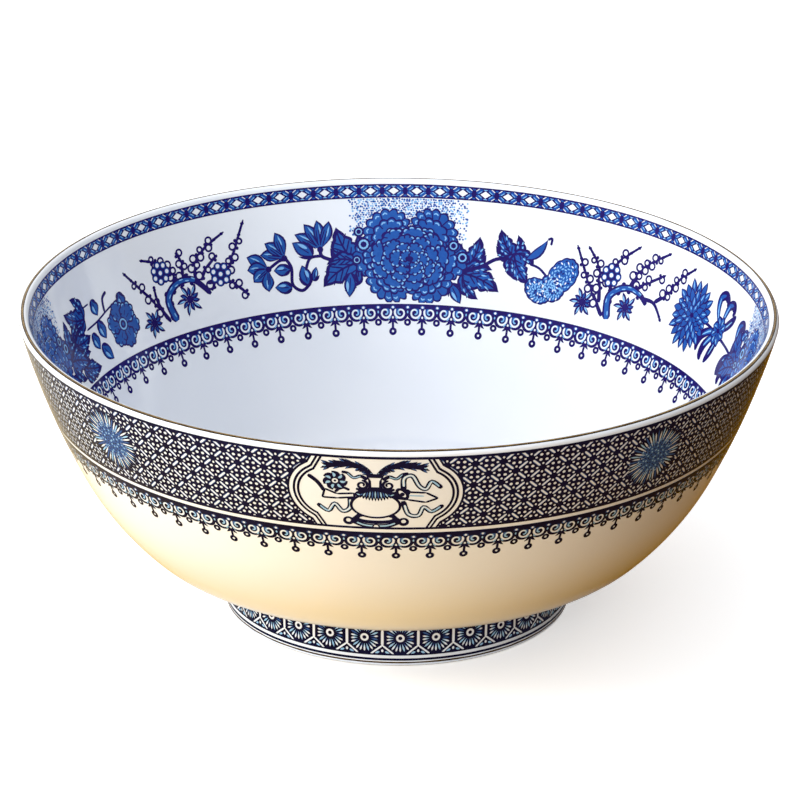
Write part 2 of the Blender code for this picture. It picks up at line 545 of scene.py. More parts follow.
def build_gilding():
    own(strip("lip_gold", 24, 2 * SEGMENTS, lip_gold_point, GOLD), "gold", "rim_gilding")
    own(strip("foot_gold", 8, 2 * SEGMENTS, foot_gold_point, GOLD), "gold", "foot_gilding")


# --- Drawing kit: outlines in millimetres --------------------------------------------------


class Drawing:
    """Shapes in the order they are laid down. Ink None wipes back to bare glaze."""

    def __init__(self):
        self.shapes = []

    def add(self, ink, outline):
        self.shapes.append((ink, [(float(x), float(s)) for x, s in outline]))


def between(start, end, share):
    return start[0] + (end[0] - start[0]) * share, start[1] + (end[1] - start[1]) * share


def beside(start, end, share, aside):
    """A share of the way along a line, then aside from it by a share of its length."""
    x, s = between(start, end, share)
    return x - (end[1] - start[1]) * aside, s + (end[0] - start[0]) * aside


def polar(x, s, reach, angle):
    return x + reach * math.cos(angle), s + reach * math.sin(angle)


def turned_about(x, s, u, v, turn):
    """The place (u, v) from a centre, turned about that centre."""
    return x + u * math.cos(turn) - v * math.sin(turn), s + u * math.sin(turn) + v * math.cos(turn)


def oval(x, s, across, down=None, turn=0.0, count=14):
    down = across if down is None else down
    points = []
    for i in range(count):
        angle = FULL_TURN * i / count
        points.append(turned_about(x, s, across * math.cos(angle), down * math.sin(angle), turn))
    return points


def curve_place(a, b, c, d, t):
    """One coordinate of a Catmull-Rom curve, t of the way from b to c."""
    slope = (c - a) * t
    bend = (2 * a - 5 * b + 4 * c - d) * t**2
    twist = (3 * b - a - 3 * c + d) * t**3
    return 0.5 * (2 * b + slope + bend + twist)


def smooth(points, steps=5):
    """Smooth curve through the points. A straight stroke gets points near its ends."""
    if len(points) < 3:
        start, end = points
        return [start, between(start, end, 0.15), between(start, end, 0.85), end]
    ends = [points[0], *points, points[-1]]
    curve = []
    for near in zip(ends, ends[1:], ends[2:], ends[3:]):
        xs, downs = zip(*near)
        for i in range(steps):
            curve.append((curve_place(*xs, i / steps), curve_place(*downs, i / steps)))
    curve.append(tuple(points[-1]))
    return curve


def ribbon(centreline, half_width):
    """Outline round a centreline. half_width takes the share of the way along it."""
    count = len(centreline) - 1
    left, right = [], []
    for i, (x, s) in enumerate(centreline):
        before = centreline[max(i - 1, 0)]
        after = centreline[min(i + 1, count)]
        length = math.hypot(after[0] - before[0], after[1] - before[1]) or 1.0
        across = (-(after[1] - before[1]) / length, (after[0] - before[0]) / length)
        half = half_width(i / count)
        left.append((x + across[0] * half, s + across[1] * half))
        right.append((x - across[0] * half, s - across[1] * half))
    return left + right[::-1]


def brush(points, width, end_width=None, steps=5):
    """Smooth stroke that runs from one width to another, with blunt rounded ends."""
    end_width = width if end_width is None else end_width

    def half(share):
        edge = min(share, 1 - share)
        return (width + (end_width - width) * share) / 2 * (0.55 if edge < 1e-9 else 1.0)

    return ribbon(smooth(points, steps), half)


def midrib(base, tip, bend, steps):
    """Points from base to tip along a line that bows sideways by a share of its length."""
    dx, ds = tip[0] - base[0], tip[1] - base[1]
    points = []
    for i in range(steps + 1):
        t = i / steps
        bow = 4 * t * (1 - t) * bend
        points.append((base[0] + dx * t - ds * bow, base[1] + ds * t + dx * bow))
    return points


def leaf(base, tip, width, bend=0.0, fullness=0.8, steps=7):
    """Pointed leaf. A low fullness puts its width near the base."""
    line = midrib(base, tip, bend, steps)
    return ribbon(line, lambda t: width / 2 * math.sin(math.pi * min(t, 1.0) ** fullness) + 0.02)


def toothed(base, tip, width, bend, teeth, inset=0.0):
    """Leaf with a wavy edge, drawn smaller by the inset."""

    def half(t):
        tooth = 0.80 + 0.24 * abs(math.sin(math.pi * t * teeth))
        return max(width / 2 * math.sin(math.pi * min(t, 1.0) ** 0.8) * tooth - inset, 0.02)

    return ribbon(midrib(base, tip, bend, 4 * teeth), half)


def spiral(x, s, outer, inner, turns, start, sense, width):
    """Stroke that winds inwards from radius outer, starting at an angle."""
    count = max(8, round(turns * 16))
    points = []
    for i in range(count + 1):
        share = i / count
        radius = outer + (inner - outer) * share
        angle = start + sense * FULL_TURN * turns * share
        points.append((x + radius * math.cos(angle), s + radius * math.sin(angle)))
    return ribbon(points, lambda t: width / 2 * (1.0 - 0.35 * t) * (0.5 if t in (0, 1) else 1.0))


def fan(base, tip, spread, scallops=0, depth=0.0, inset=0.0):
    """Petal that opens from base to tip through an angle, its far edge scalloped."""
    reach = math.hypot(tip[0] - base[0], tip[1] - base[1])
    heading = math.atan2(tip[1] - base[1], tip[0] - base[0])
    half = spread / 2 - inset / reach
    count = max(8, 5 * scallops)
    points = [(base[0] + inset * math.cos(heading), base[1] + inset * math.sin(heading))]
    for i in range(count + 1):
        across = 2 * i / count - 1
        wave = abs(math.sin(math.pi * scallops * (across + 1) / 2)) if scallops else 1.0
        radius = (reach - inset) * (1 - 0.22 * across**2) * (1 - depth + depth * wave)
        angle = heading + half * across
        points.append((base[0] + radius * math.cos(angle), base[1] + radius * math.sin(angle)))
    return points


def ringlet(drawing, x, s, radius, line=0.45, ink="deep", inside=None):
    drawing.add(ink, oval(x, s, radius))
    drawing.add(inside, oval(x, s, radius - line, count=10))


# --- From drawing to ink sheet -------------------------------------------------------------

SAME_POINT = 1e-5
DECIMALS = 8


def planar_map(drawing, left, right, top, bottom):
    """Triangulates the drawing so that no triangle crosses an outline or a grid line.

    Gives the points, and for each ink the triangles that show it.
    """
    points, edges = [], []

    def polygon(outline):
        first = len(points)
        points.extend(outline)
        count = len(outline)
        edges.extend((first + i, first + (i + 1) % count) for i in range(count))

    columns = math.ceil((right - left) / INK_GRID)
    rows = math.ceil((bottom - top) / INK_GRID)
    for i in range(columns + 1):
        x = left + (right - left) * i / columns
        edges.append((len(points), len(points) + 1))
        points.extend(((x, top), (x, bottom)))
    for i in range(rows + 1):
        s = top + (bottom - top) * i / rows
        edges.append((len(points), len(points) + 1))
        points.extend(((left, s), (right, s)))
    for _, outline in drawing.shapes:
        polygon(outline)
    result = delaunay_2d_cdt([Vector(p) for p in points], edges, [], 0, SAME_POINT)
    corners = np.array([(p[0], p[1]) for p in result[0]])
    triangles = np.array([f for f in result[2] if len(f) == 3])
    centres = corners[triangles].mean(axis=1)
    order = np.argsort(centres[:, 0])
    triangles, centres = triangles[order], centres[order]
    inside = (centres > (left, top)).all(axis=1) & (centres < (right, bottom)).all(axis=1)
    inks = [None] + sorted({ink for ink, _ in drawing.shapes if ink})
    shown = np.zeros(len(triangles), dtype=int)
    for ink, outline in drawing.shapes:
        outline = np.array(outline)
        low, high = outline.min(axis=0), outline.max(axis=0)
        start, end = np.searchsorted(centres[:, 0], (low[0], high[0]))
        near = np.arange(start, end)
        near = near[(centres[near, 1] > low[1]) & (centres[near, 1] < high[1])]
        if len(near):
            shown[near[winding(centres[near], outline) != 0]] = inks.index(ink)
    shown[~inside] = 0
    return corners, {ink: triangles[shown == i] for i, ink in enumerate(inks) if ink}


def winding(places, outline):
    """How many times the outline goes round each place."""
    after = np.roll(outline, -1, axis=0)
    x, y = places[:, :1], places[:, 1:]
    run = after - outline
    side = run[:, 0] * (y - outline[:, 1]) - (x - outline[:, 0]) * run[:, 1]
    up = (outline[:, 1] <= y) & (after[:, 1] > y) & (side > 0)
    down = (outline[:, 1] > y) & (after[:, 1] <= y) & (side < 0)
    return up.sum(axis=1) - down.sum(axis=1)


def ink_sheets(prefix, drawing, area, copies, place, inks, slot, node):
    """One sheet for each ink in the drawing, repeated round the bowl.

    place turns arrays of x and s, in millimetres, into angle, radius, height and normal.
    """
    corners, by_ink = planar_map(drawing, *area)
    for ink, triangles in by_ink.items():
        used, faces = np.unique(triangles, return_inverse=True)
        faces = faces.reshape(-1, 3)
        angle, radius, height, normal = place(corners[used, 0], corners[used, 1])
        points, normals = [], []
        for k in range(copies):
            turn = angle + FULL_TURN * k / copies
            points.append(np.stack((radius * np.cos(turn), radius * np.sin(turn), height), axis=1))
            flat = (normal[0] * np.cos(turn), normal[0] * np.sin(turn), normal[1])
            normals.append(np.stack(flat, axis=1))
        faces = np.concatenate([faces + k * len(used) for k in range(copies)])
        points, kept, renamed = np.unique(
            np.round(np.concatenate(points), DECIMALS), axis=0, return_index=True, return_inverse=True
        )
        normals = np.concatenate(normals)[kept]
        faces = renamed.reshape(-1)[faces]
        faces = faces[(faces != np.roll(faces, 1, axis=1)).all(axis=1)]
        first, second, third = (points[faces[:, k]] for k in range(3))
        facing = (np.cross(second - first, third - first) * normals[faces[:, 0]]).sum(axis=1)
        faces[facing < 0] = faces[facing < 0][:, ::-1]
        name = f"{prefix}_{ink}"
        data = bpy.data.meshes.new(name)
        data.from_pydata(points.tolist(), [], faces.tolist())
        data.validate()
        data.materials.append(inks[ink])
        data.polygons.foreach_set("use_smooth", [True] * len(data.polygons))
        data.normals_split_custom_set_from_vertices(normals.tolist())
        own(in_scene(name, data), slot, node)


def outer_place(reference, middle):
    """Lays a drawing on the outside, its x measured at the reference radius."""

    def place(x, s):
        radius, height, lean = on_wall(s * MM, 0.0)
        normal = (np.cos(lean), -np.sin(lean))
        radius, height = radius + INK_LIFT * normal[0], height + INK_LIFT * normal[1]
        return middle + x / reference, radius, height, normal

    return place


def inner_place(reference, middle):
    """Lays a drawing on the inside, where x to the right runs the other way round."""

    def place(x, s):
        radius, height, lean = on_wall(s * MM, WALL_THICKNESS)
        normal = (-np.cos(lean), np.sin(lean))
        radius, height = radius + INK_LIFT * normal[0], height + INK_LIFT * normal[1]
        return middle - x / reference, radius, height, normal

    return place


def foot_place(reference, middle):
    """Lays a drawing on the foot ring, s running down from its top."""

    def place(x, s):
        height = FOOT_TOP - s * MM
        radius = foot_radius(height) + INK_LIFT
        flat = np.ones_like(x)
        return middle + x / reference, radius, height, (flat, 0.0 * flat)

    return place


def band(node, depth):
    """Where a printed band's CAD node starts and ends, in millimetres down its wall."""
    low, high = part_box(node)
    return tuple(depth_of_height(height, depth) / MM for height in (high[2], low[2]))


def circumference(reference):
    return FULL_TURN * reference


def bar(half, top, bottom):
    """Rectangle across a drawing, from one side to the other."""
    return [(-half, top), (half, top), (half, bottom), (-half, bottom)]


OUTER_REFERENCE = 122.0
INNER_REFERENCE = 116.0
SIDES = (-1, 1)
GOLDEN_ANGLE = 2.39996


# --- Scroll borders ------------------------------------------------------------------------


def scroll_unit(drawing, pitch, top):
    """One repeat of a scroll border: two mirrored scrolls, a long pendant and a short one."""
    middle = top + 3.2
    for side in (-1, 0, 1):
        for x in (side * pitch - pitch / 4, side * pitch + pitch / 4):
            drawing.add("deep", oval(x, middle, 3.08, count=24))
    half = pitch / 2 + 1
    drawing.add("deep", bar(half, top, middle))
    for sense, x in ((1, -pitch / 4), (-1, pitch / 4)):
        start = math.pi / 2 - sense * 2.2
        drawing.add("mid", oval(x + sense * 0.5, middle + 0.2, 1.9, 1.8, count=16))
        drawing.add("deep", oval(x, middle + 0.1, 1.4, count=14))
        drawing.add("light", spiral(x, middle, 2.25, 0.45, 1.4, start, sense, 0.82))
        drawing.add(None, spiral(x, middle, 2.25, 1.0, 0.95, start, sense, 0.82))
        drawing.add("deep", oval(x, middle, 0.32, count=8))
    for x in (-pitch / 2, 0.0, pitch / 2):
        drawing.add("mid", oval(x, top + 1.2, 0.95, 0.6, count=10))
        drawing.add(None, oval(x, top + 1.2, 0.5, 0.44, count=8))
    for x in (-pitch / 2, pitch / 2):
        drawing.add("light", oval(x, top + 2.9, 0.3, 0.5, count=8))
        drawing.add("deep", oval(x, top + 6.6, 1.4, 1.32, count=16))
        drawing.add(None, oval(x, top + 6.6, 0.48, count=8))
    for side in SIDES:
        drawing.add("deep", leaf((0.2 * side, top + 4.9), (2.1 * side, top + 7.2), 1.0, 0.12 * side))
        drawing.add("light", leaf((0.9 * side, top + 4.3), (1.9 * side, top + 5.6), 0.5, 0.1 * side))
    drawing.add("deep", oval(0.0, top + 5.3, 1.0, 1.1))
    drawing.add("deep", brush([(0.0, top + 5.0), (0.0, top + 9.2)], 0.9))
    drawing.add("deep", oval(0.0, top + 9.9, 1.5, 1.42, count=18))
    drawing.add(None, oval(0.0, top + 9.85, 0.46, count=8))
    drawing.add(None, oval(0.0, top + 4.9, 0.42, 0.46, count=8))


OUTER_SCROLL_UNITS = 66
OUTER_SCROLL_TOP = 32.1
OUTER_PENDANT = math.radians(-86.7)
INNER_SCROLL_UNITS = 64
INNER_SCROLL_TOP = 43.5
INNER_PENDANT = math.radians(89.0)


def scroll_border(side, units, top, angle, reference, inks, place):
    drawing = Drawing()
    pitch = circumference(reference) / units
    scroll_unit(drawing, pitch, top)
    area = (-pitch / 2, pitch / 2, top - 1, top + 12)
    laid = place(reference, angle)
    slot, node = f"{side}_cobalt", f"{side}_scroll_border"
    ink_sheets(f"{side}_scrolls", drawing, area, units, laid, inks, slot, node)


def build_scroll_borders():
    outside = (OUTER_SCROLL_UNITS, OUTER_SCROLL_TOP, OUTER_PENDANT, OUTER_REFERENCE)
    inside = (INNER_SCROLL_UNITS, INNER_SCROLL_TOP, INNER_PENDANT, INNER_REFERENCE)
    scroll_border("outer", *outside, OUTER_INKS, outer_place)
    scroll_border("inner", *inside, INNER_INKS, inner_place)


# --- Inner lattice border ------------------------------------------------------------------

LATTICE_UNITS = 93
LATTICE_NODE = math.radians(88.7)


def lattice_unit(drawing, pitch, top, bottom):
    """A dark star with a white diamond half a repeat away on each side."""
    middle = (top + bottom) / 2
    half = pitch / 2
    drawing.add("deep", bar(half, top, bottom))
    for side in SIDES:
        x = side * half
        across, down = 1.75, 1.25
        tips = ((x - across, middle), (x, middle - down), (x + across, middle), (x, middle + down))
        drawing.add(None, tips)
        for up in SIDES:
            edge = middle + up * 1.78
            drawing.add("light", [(x - 0.85, edge), (x, edge - up * 0.45), (x + 0.85, edge)])
            inner = (side * 0.85, middle + up * 0.35)
            drawing.add("mid", brush([inner, (side * 2.85, middle + up * 1.8)], 1.05))
            for shift, ink in ((-0.40, None), (0.40, "light")):
                start = (side * (1.05 + shift), middle + up * (0.70 - shift))
                end = (side * (2.25 + shift), middle + up * (1.60 - shift))
                drawing.add(ink, brush([start, end], 0.30))
    for up in SIDES:
        drawing.add("mid", oval(0.0, middle + up * 1.6, 0.6, 0.32, count=8))


def build_lattice():
    drawing = Drawing()
    pitch = circumference(INNER_REFERENCE) / LATTICE_UNITS
    node = "inner_lattice_border"
    top, bottom = band(node, WALL_THICKNESS)
    lattice_unit(drawing, pitch, top, bottom)
    area = (-pitch / 2, pitch / 2, top, bottom)
    place = inner_place(INNER_REFERENCE, LATTICE_NODE)
    ink_sheets("inner_lattice", drawing, area, LATTICE_UNITS, place, INNER_INKS, "inner_cobalt", node)


# --- Foot band -----------------------------------------------------------------------------

FOOT_CELLS = 31
FOOT_CELL_CENTRE = math.radians(-85.3)
FOOT_REFERENCE = 58.7


def foot_cell(drawing, pitch, middle):
    """A hexagon with a rayed flower, between white bars."""
    half = pitch / 2
    top, bottom = middle - 5.9, middle + 5.9
    drawing.add("deep", bar(half, top, bottom))
    for up in SIDES:
        for side in SIDES:
            corner = (side * half, middle + up * 2.7)
            drawing.add(None, brush([corner, (side * (half - 3.9), middle + up * 6.0)], 0.62))
            drawing.add(None, oval(side * half, middle + up * 4.7, 0.42, 0.55, count=8))
            near = (side * (half - 0.9), middle + up * 5.0)
            far = (side * (half - 2.4), middle + up * 5.6)
            drawing.add("light", leaf(near, far, 0.7))
    for side in SIDES:
        drawing.add(None, brush([(side * half, middle - 3.1), (side * half, middle + 3.1)], 0.90))
    rays = 22
    for i in range(rays):
        angle = FULL_TURN * (i + 0.5) / rays
        across, down = math.cos(angle), math.sin(angle)
        reach = min(4.55 / max(abs(across), 1e-6), 5.1 / max(abs(down), 1e-6), 5.15)
        start = (2.3 * across, middle + 2.3 * down)
        end = (reach * across, middle + reach * down)
        drawing.add("light" if i % 3 else "mid", leaf(start, end, 0.62, fullness=1.4, steps=4))
        near = (3.1 * across, middle + 3.1 * down)
        if i % 4:
            drawing.add(None, leaf(near, end, 0.60, fullness=1.5, steps=4))
    drawing.add("deep", oval(0.0, middle, 2.1, count=20))
    drawing.add(None, oval(0.0, middle, 1.42, count=18))
    drawing.add("deep", oval(0.0, middle, 0.68, count=12))
    low = middle + 6.7
    drawing.add("deep", bar(half, low + 0.75, low + 1.6))
    drawing.add("deep", bar(half, bottom - 0.1, bottom + 0.5))


def build_foot_band():
    drawing = Drawing()
    pitch = circumference(FOOT_REFERENCE) / FOOT_CELLS
    middle = FOOT_TOP / MM - 10.6
    foot_cell(drawing, pitch, middle)
    area = (-pitch / 2, pitch / 2, middle - 6, middle + 9)
    place = foot_place(FOOT_REFERENCE, FOOT_CELL_CENTRE)
    node = "foot_honeycomb_band"
    ink_sheets("foot_honeycomb", drawing, area, FOOT_CELLS, place, OUTER_INKS, "outer_cobalt", node)


# --- Outer diaper band ---------------------------------------------------------------------

DIAPER_COLUMNS = 88
DIAPER_ROW = 4.28
DIAPER_FIRST_ROW = 3.3
DIAPER_BOTTOM = 30.0
DIAPER_TOP = -0.3
SCROLL_LINE = 31.4
PANELS = 4
PANEL_MIDDLE = 15.0
PANEL_DIRECTION = math.radians(-89.75)


def diaper_cell(drawing, x, s, pitch):
    """What one diamond holds: four large dots, four small ones, and two of its bars."""
    for side in SIDES:
        for up in SIDES:
            drawing.add(None, oval(x + side * 0.98, s + up * 1.03, 0.57, 0.54, count=8))
        drawing.add(None, oval(x + side * 2.55, s, 0.46, 0.42, count=6))
        drawing.add(None, oval(x, s + side * 2.6, 0.40, 0.48, count=6))
        start = (x + side * pitch / 2 * 0.79, s - DIAPER_ROW * 0.21)
        end = (x + side * pitch / 2 * 0.21, s - DIAPER_ROW * 0.79)
        drawing.add("mid", brush([start, end], 1.10))
        drawing.add(None, brush([start, end], 0.68))


def diaper_ground(drawing, half, pitch):
    drawing.add("deep", bar(half, 0.0, DIAPER_BOTTOM))
    rows = math.ceil((DIAPER_BOTTOM - DIAPER_FIRST_ROW) / DIAPER_ROW) + 2
    columns = round(2 * half / pitch)
    for row in range(rows):
        s = DIAPER_FIRST_ROW + (row - 1) * DIAPER_ROW
        shift = 0.0 if row % 2 == 0 else 0.5
        for column in range(-1, columns + 1):
            x = -half + (column + shift + 0.5) * pitch
            diaper_cell(drawing, x, s, pitch)


def cartouche(offset):
    """Outline of the panel: a bow on each side between two cusps. offset widens it."""
    bow_radius, bow_centre, end_half = 10.0, 14.0, 15.6
    right = []
    steps = 44
    for i in range(steps + 1):
        s = DIAPER_BOTTOM * i / steps
        away = abs(s - PANEL_MIDDLE)
        bow = math.sqrt(max((bow_radius + offset) ** 2 - away**2, 0.0))
        taper = end_half + offset + 0.5 * (PANEL_MIDDLE - away)
        right.append((max(bow_centre + bow, taper), s))
    return right + [(-x, s) for x, s in reversed(right)]


PANEL_RIBBONS = (
    ((-7.9, 16.0), (-8.2, 21.0), (-10.6, 22.6), (-13.0, 19.6), (-15.2, 22.8), (-18.6, 20.2)),
    ((8.8, 13.0), (8.9, 8.2), (11.4, 7.2), (13.6, 11.4), (15.8, 12.6), (17.4, 9.6), (20.6, 12.4)),
    ((8.6, 17.6), (10.4, 23.2), (13.6, 23.8), (15.2, 20.2), (17.8, 22.2), (21.4, 19.6)),
)
SCROLL_RIGHT = (
    *((5.0, 14.2), (10.0, 13.8), (15.8, 14.2), (19.6, 16.6)),
    *((15.8, 18.2), (10.0, 17.0), (5.0, 16.2)),
)
SCROLL_LEFT = (
    *((-6.6, 14.8), (-12.0, 15.4), (-15.8, 13.6)),
    *((-16.8, 17.2), (-12.0, 17.2), (-6.6, 16.4)),
)


def panel(drawing):
    """The white panel with its double border and a jar of plumes among ribbons."""
    for line, inside in ((4.0, 3.25), (2.15, 1.35), (0.8, 0.0)):
        drawing.add("deep", cartouche(line))
        drawing.add(None, cartouche(inside))
    for side in SIDES:
        feather(drawing, side, random.Random(3))
    for ribbon_path in PANEL_RIBBONS:
        folded_ribbon(drawing, *ribbon_path)
    enclosed(drawing, SCROLL_RIGHT, 0.75)
    drawing.add("light", brush([(9.6, 15.2), (15.2, 15.6)], 0.5))
    enclosed(drawing, SCROLL_LEFT, 0.75)
    drawing.add("deep", brush([(-16.0, 14.6), (-18.0, 11.0), (-20.8, 8.4)], 1.3, 1.5))
    drawing.add("deep", brush([(-8.0, 13.6), (-10.4, 12.6), (-12.6, 14.6)], 1.0))
    rosette(drawing, -12.4, 10.0, 4.0)
    plumed_jar(drawing)
    for turn in (-0.5, 0.9):
        drawing.add("deep", oval(8.4, 14.6, 2.8, 1.7, turn, count=18))
        drawing.add(None, oval(8.4, 14.6, 1.7, 0.75, turn, count=12))
    drawing.add("deep", oval(8.4, 14.8, 0.8, count=8))


def enclosed(drawing, points, line, fill=None):
    """A closed shape with a dark line round it, filled with an ink or left bare."""
    drawing.add(fill, points)
    for start, end in zip(points, points[1:] + points[:1]):
        drawing.add("deep", brush([start, end], line))


def folded_ribbon(drawing, *points):
    core = [between(points[0], points[1], 0.3), *points[1:-1], between(points[-2], points[-1], 0.75)]
    drawing.add("deep", brush(points, 1.9, 1.6))
    drawing.add("light", brush(core, 0.85, 0.6))
    drawing.add(None, brush(core[:-1], 0.5, 0.4))


def rosette(drawing, x, s, radius):
    """A small flower of curled petals round a ringed heart."""
    petals = 7
    for i in range(petals):
        tip = polar(x, s, radius, FULL_TURN * i / petals)
        drawing.add("deep", leaf((x, s), tip, 2.9, 0.2, fullness=1.2))
    for i in range(petals):
        angle = FULL_TURN * i / petals
        drawing.add("light", leaf(polar(x, s, 1.5, angle), polar(x, s, radius * 0.84, angle), 0.9, 0.2))
    ringlet(drawing, x, s, 1.6, 0.6)
    drawing.add("deep", oval(x, s, 0.45, count=8))


def feather(drawing, side, chance):
    """A plume that arches outwards from the mouth of the jar, with ragged barbs."""
    path = [(side * 0.8, 7.4), (side * 3.4, 4.2), (side * 8.5, 2.9), (side * 15.4, 4.2)]
    curve = smooth(path, 8)
    drawing.add("deep", brush(path, 1.3, 2.0, steps=8))
    for i in range(3, len(curve)):
        for up in SIDES:
            out = side * chance.uniform(0.5, 1.8)
            tip = (curve[i][0] + out, curve[i][1] + up * chance.uniform(1.0, 2.1))
            drawing.add("deep", leaf(curve[i - 2], tip, 1.0))
            if i % 2:
                drawing.add("mid", leaf(between(curve[i - 1], tip, 0.25), tip, 0.5))
        if i % 3 == 0:
            drawing.add("light", oval(*curve[i], 0.55, 0.24, side * 0.2, count=6))


def plumed_jar(drawing):
    """A round jar with scroll handles on a low footed stand."""
    drawing.add("deep", oval(0.0, 25.6, 6.6, 2.1, count=24))
    drawing.add(None, oval(0.0, 25.2, 5.3, 1.0, count=18))
    drawing.add("deep", brush([(-7.8, 26.4), (-3.2, 28.5), (3.2, 28.5), (7.8, 26.4)], 1.9))
    drawing.add("light", brush([(-6.2, 27.2), (-3.0, 28.4), (3.0, 28.4), (6.2, 27.2)], 0.6))
    ringlet(drawing, 0.0, 28.9, 1.3, 0.5)
    for side in SIDES:
        drawing.add("deep", brush([(side * 5.0, 23.6), (side * 6.6, 25.4), (side * 8.6, 27.2)], 1.6))
        drawing.add("deep", oval(side * 8.9, 26.6, 1.8, count=16))
        drawing.add(None, oval(side * 8.9, 26.4, 0.8, count=10))
    drawing.add("deep", oval(0.0, 19.7, 8.2, 5.6, count=40))
    drawing.add(None, oval(0.0, 19.8, 7.3, 4.75, count=40))
    shoulders = [(-1.9, 11.0), (-2.6, 12.6), (-5.0, 13.4), (-7.0, 15.6), (-3.4, 15.9), (0.0, 16.4)]
    mirrored = [(-x, s) for x, s in shoulders[-2::-1]]
    drawing.add("deep", smooth(shoulders + mirrored, 3))
    strands = 13
    for i in range(strands):
        x = (i - (strands - 1) / 2) * 0.98
        top = 13.2 + 0.05 * x * x
        drawing.add("deep", leaf((x * 0.8, top), (x, 17.9 - 0.055 * x * x), 0.95, fullness=1.2))
        strand = leaf((x * 0.8, top + 0.5), (x, 16.8 - 0.055 * x * x), 0.42)
        drawing.add("mid" if i % 2 else "light", strand)
    drawing.add("deep", [(-2.9, 6.6), (2.9, 6.6), (2.1, 9.2), (2.0, 12.4), (-2.0, 12.4), (-2.1, 9.2)])
    drawing.add(None, [(-1.9, 8.2), (1.9, 8.2), (1.25, 9.6), (1.2, 12.0), (-1.2, 12.0), (-1.25, 9.6)])
    for side in SIDES:
        drawing.add("deep", spiral(side * 4.1, 11.2, 1.9, 0.5, 1.4, -math.pi / 2, -side, 1.0))
        drawing.add("deep", brush([(side * 2.2, 12.6), (side * 4.0, 13.4), (side * 6.0, 12.8)], 1.0))
        crests = ((2.4, 9.0), (4.4, 7.6), (6.6, 8.4), (8.4, 6.6), (10.2, 6.2))
        wave = [(side * x, s) for x, s in crests]
        drawing.add("deep", brush(wave, 1.4, 1.0))
        drawing.add("light", brush(wave[1:4], 0.45, 0.3))


def chrysanthemum_roundel(drawing, x, s, radius):
    """A fine-rayed flower head with a wide mottled heart, which covers the lattice."""
    chance = random.Random(11)
    rays = 52
    for i in range(rays):
        angle = FULL_TURN * i / rays
        reach = radius * chance.uniform(0.94, 1.08)
        drawing.add("deep", leaf(polar(x, s, 3.0, angle), polar(x, s, reach, angle), 2.0, fullness=1.5))
    drawing.add("deep", oval(x, s, radius * 0.86, count=40))
    drawing.add("mid", oval(x, s, radius * 0.62, count=40))
    for i in range(rays):
        angle = FULL_TURN * i / rays
        near = polar(x, s, radius * chance.uniform(0.36, 0.56), angle)
        far = polar(x, s, radius * chance.uniform(0.84, 1.0), angle)
        drawing.add(("light", None, "mid", None)[i % 4], leaf(near, far, 0.58, fullness=1.4, steps=4))
    speckles = 110
    for i in range(speckles):
        spot = polar(x, s, radius * 0.60 * math.sqrt(i / speckles), GOLDEN_ANGLE * i)
        drawing.add("deep" if i % 5 > 1 else "light", oval(*spot, 0.42, 0.26, i, count=6))


def build_diaper():
    drawing = Drawing()
    half = circumference(OUTER_REFERENCE) / PANELS / 2
    pitch = circumference(OUTER_REFERENCE) / DIAPER_COLUMNS
    diaper_ground(drawing, half, pitch)
    for side in SIDES:
        chrysanthemum_roundel(drawing, side * half, 14.3, 11.8)
    panel(drawing)
    for ink, top, bottom in (
        ("deep", DIAPER_TOP, 0.7),
        (None, DIAPER_BOTTOM, SCROLL_LINE),
        ("deep", DIAPER_BOTTOM - 0.95, DIAPER_BOTTOM),
        ("deep", SCROLL_LINE, OUTER_SCROLL_TOP),
    ):
        drawing.add(ink, bar(half, top, bottom))
    area = (-half, half, DIAPER_TOP, OUTER_SCROLL_TOP)
    place = outer_place(OUTER_REFERENCE, PANEL_DIRECTION)
    node = "outer_diaper_band"
    ink_sheets("outer_diaper", drawing, area, PANELS, place, OUTER_INKS, "outer_cobalt", node)


# --- Flowers -------------------------------------------------------------------------------


def blades(drawing, parts, line=0.85, fullness=0.8):
    """Overlapping blades with one outline round them all. A part is (base, tip, width, bend)."""
    for base, tip, width, bend in parts:
        drawing.add("deep", leaf(base, tip, width, bend, fullness))
    for base, tip, width, bend in parts:
        inner = (between(base, tip, 0.03), between(base, tip, 0.94))
        drawing.add("mid", leaf(*inner, max(width - line, 0.3), bend, fullness))


def lobed_leaf(drawing, base, tip, width, bend=0.0, lit=True):
    """Leaf with two side lobes, wavy edges, dark veins and, where lit, light streaks."""
    lobes = [(base, tip, width, bend, 4)]
    for side in SIDES:
        lobes.append((base, beside(base, tip, 0.62, side * 0.38), width * 0.66, side * 0.14, 3))
    for near, far, wide, bow, teeth in lobes:
        drawing.add("deep", toothed(near, far, wide, bow, teeth))
    for near, far, wide, bow, teeth in lobes:
        drawing.add("mid", toothed(near, between(near, far, 0.93), wide, bow, teeth, inset=0.9))
    for near, far, wide, bow, _ in lobes:
        spread = 0.34 * wide / math.hypot(far[0] - near[0], far[1] - near[1])
        for share in (0.26, 0.44, 0.62):
            reach = spread * math.sin(math.pi * share)
            rib = 4 * share * (1 - share) * bow
            for side in SIDES:
                start = beside(near, far, share - 0.1, rib)
                end = beside(near, far, share + 0.14, rib + side * reach)
                drawing.add("deep", brush([start, end], 0.5))
                if lit and share > 0.3:
                    streak = beside(near, far, share, rib + side * reach * 0.5)
                    streak_end = beside(near, far, share + 0.13, rib + side * reach * 0.7)
                    drawing.add("light", leaf(streak, streak_end, 0.5))
        drawing.add("deep", brush(midrib(near, far, bow, 4), 0.85, 0.5, steps=3))


def stem(drawing, *points, width=0.7):
    drawing.add("deep", brush(points, width))


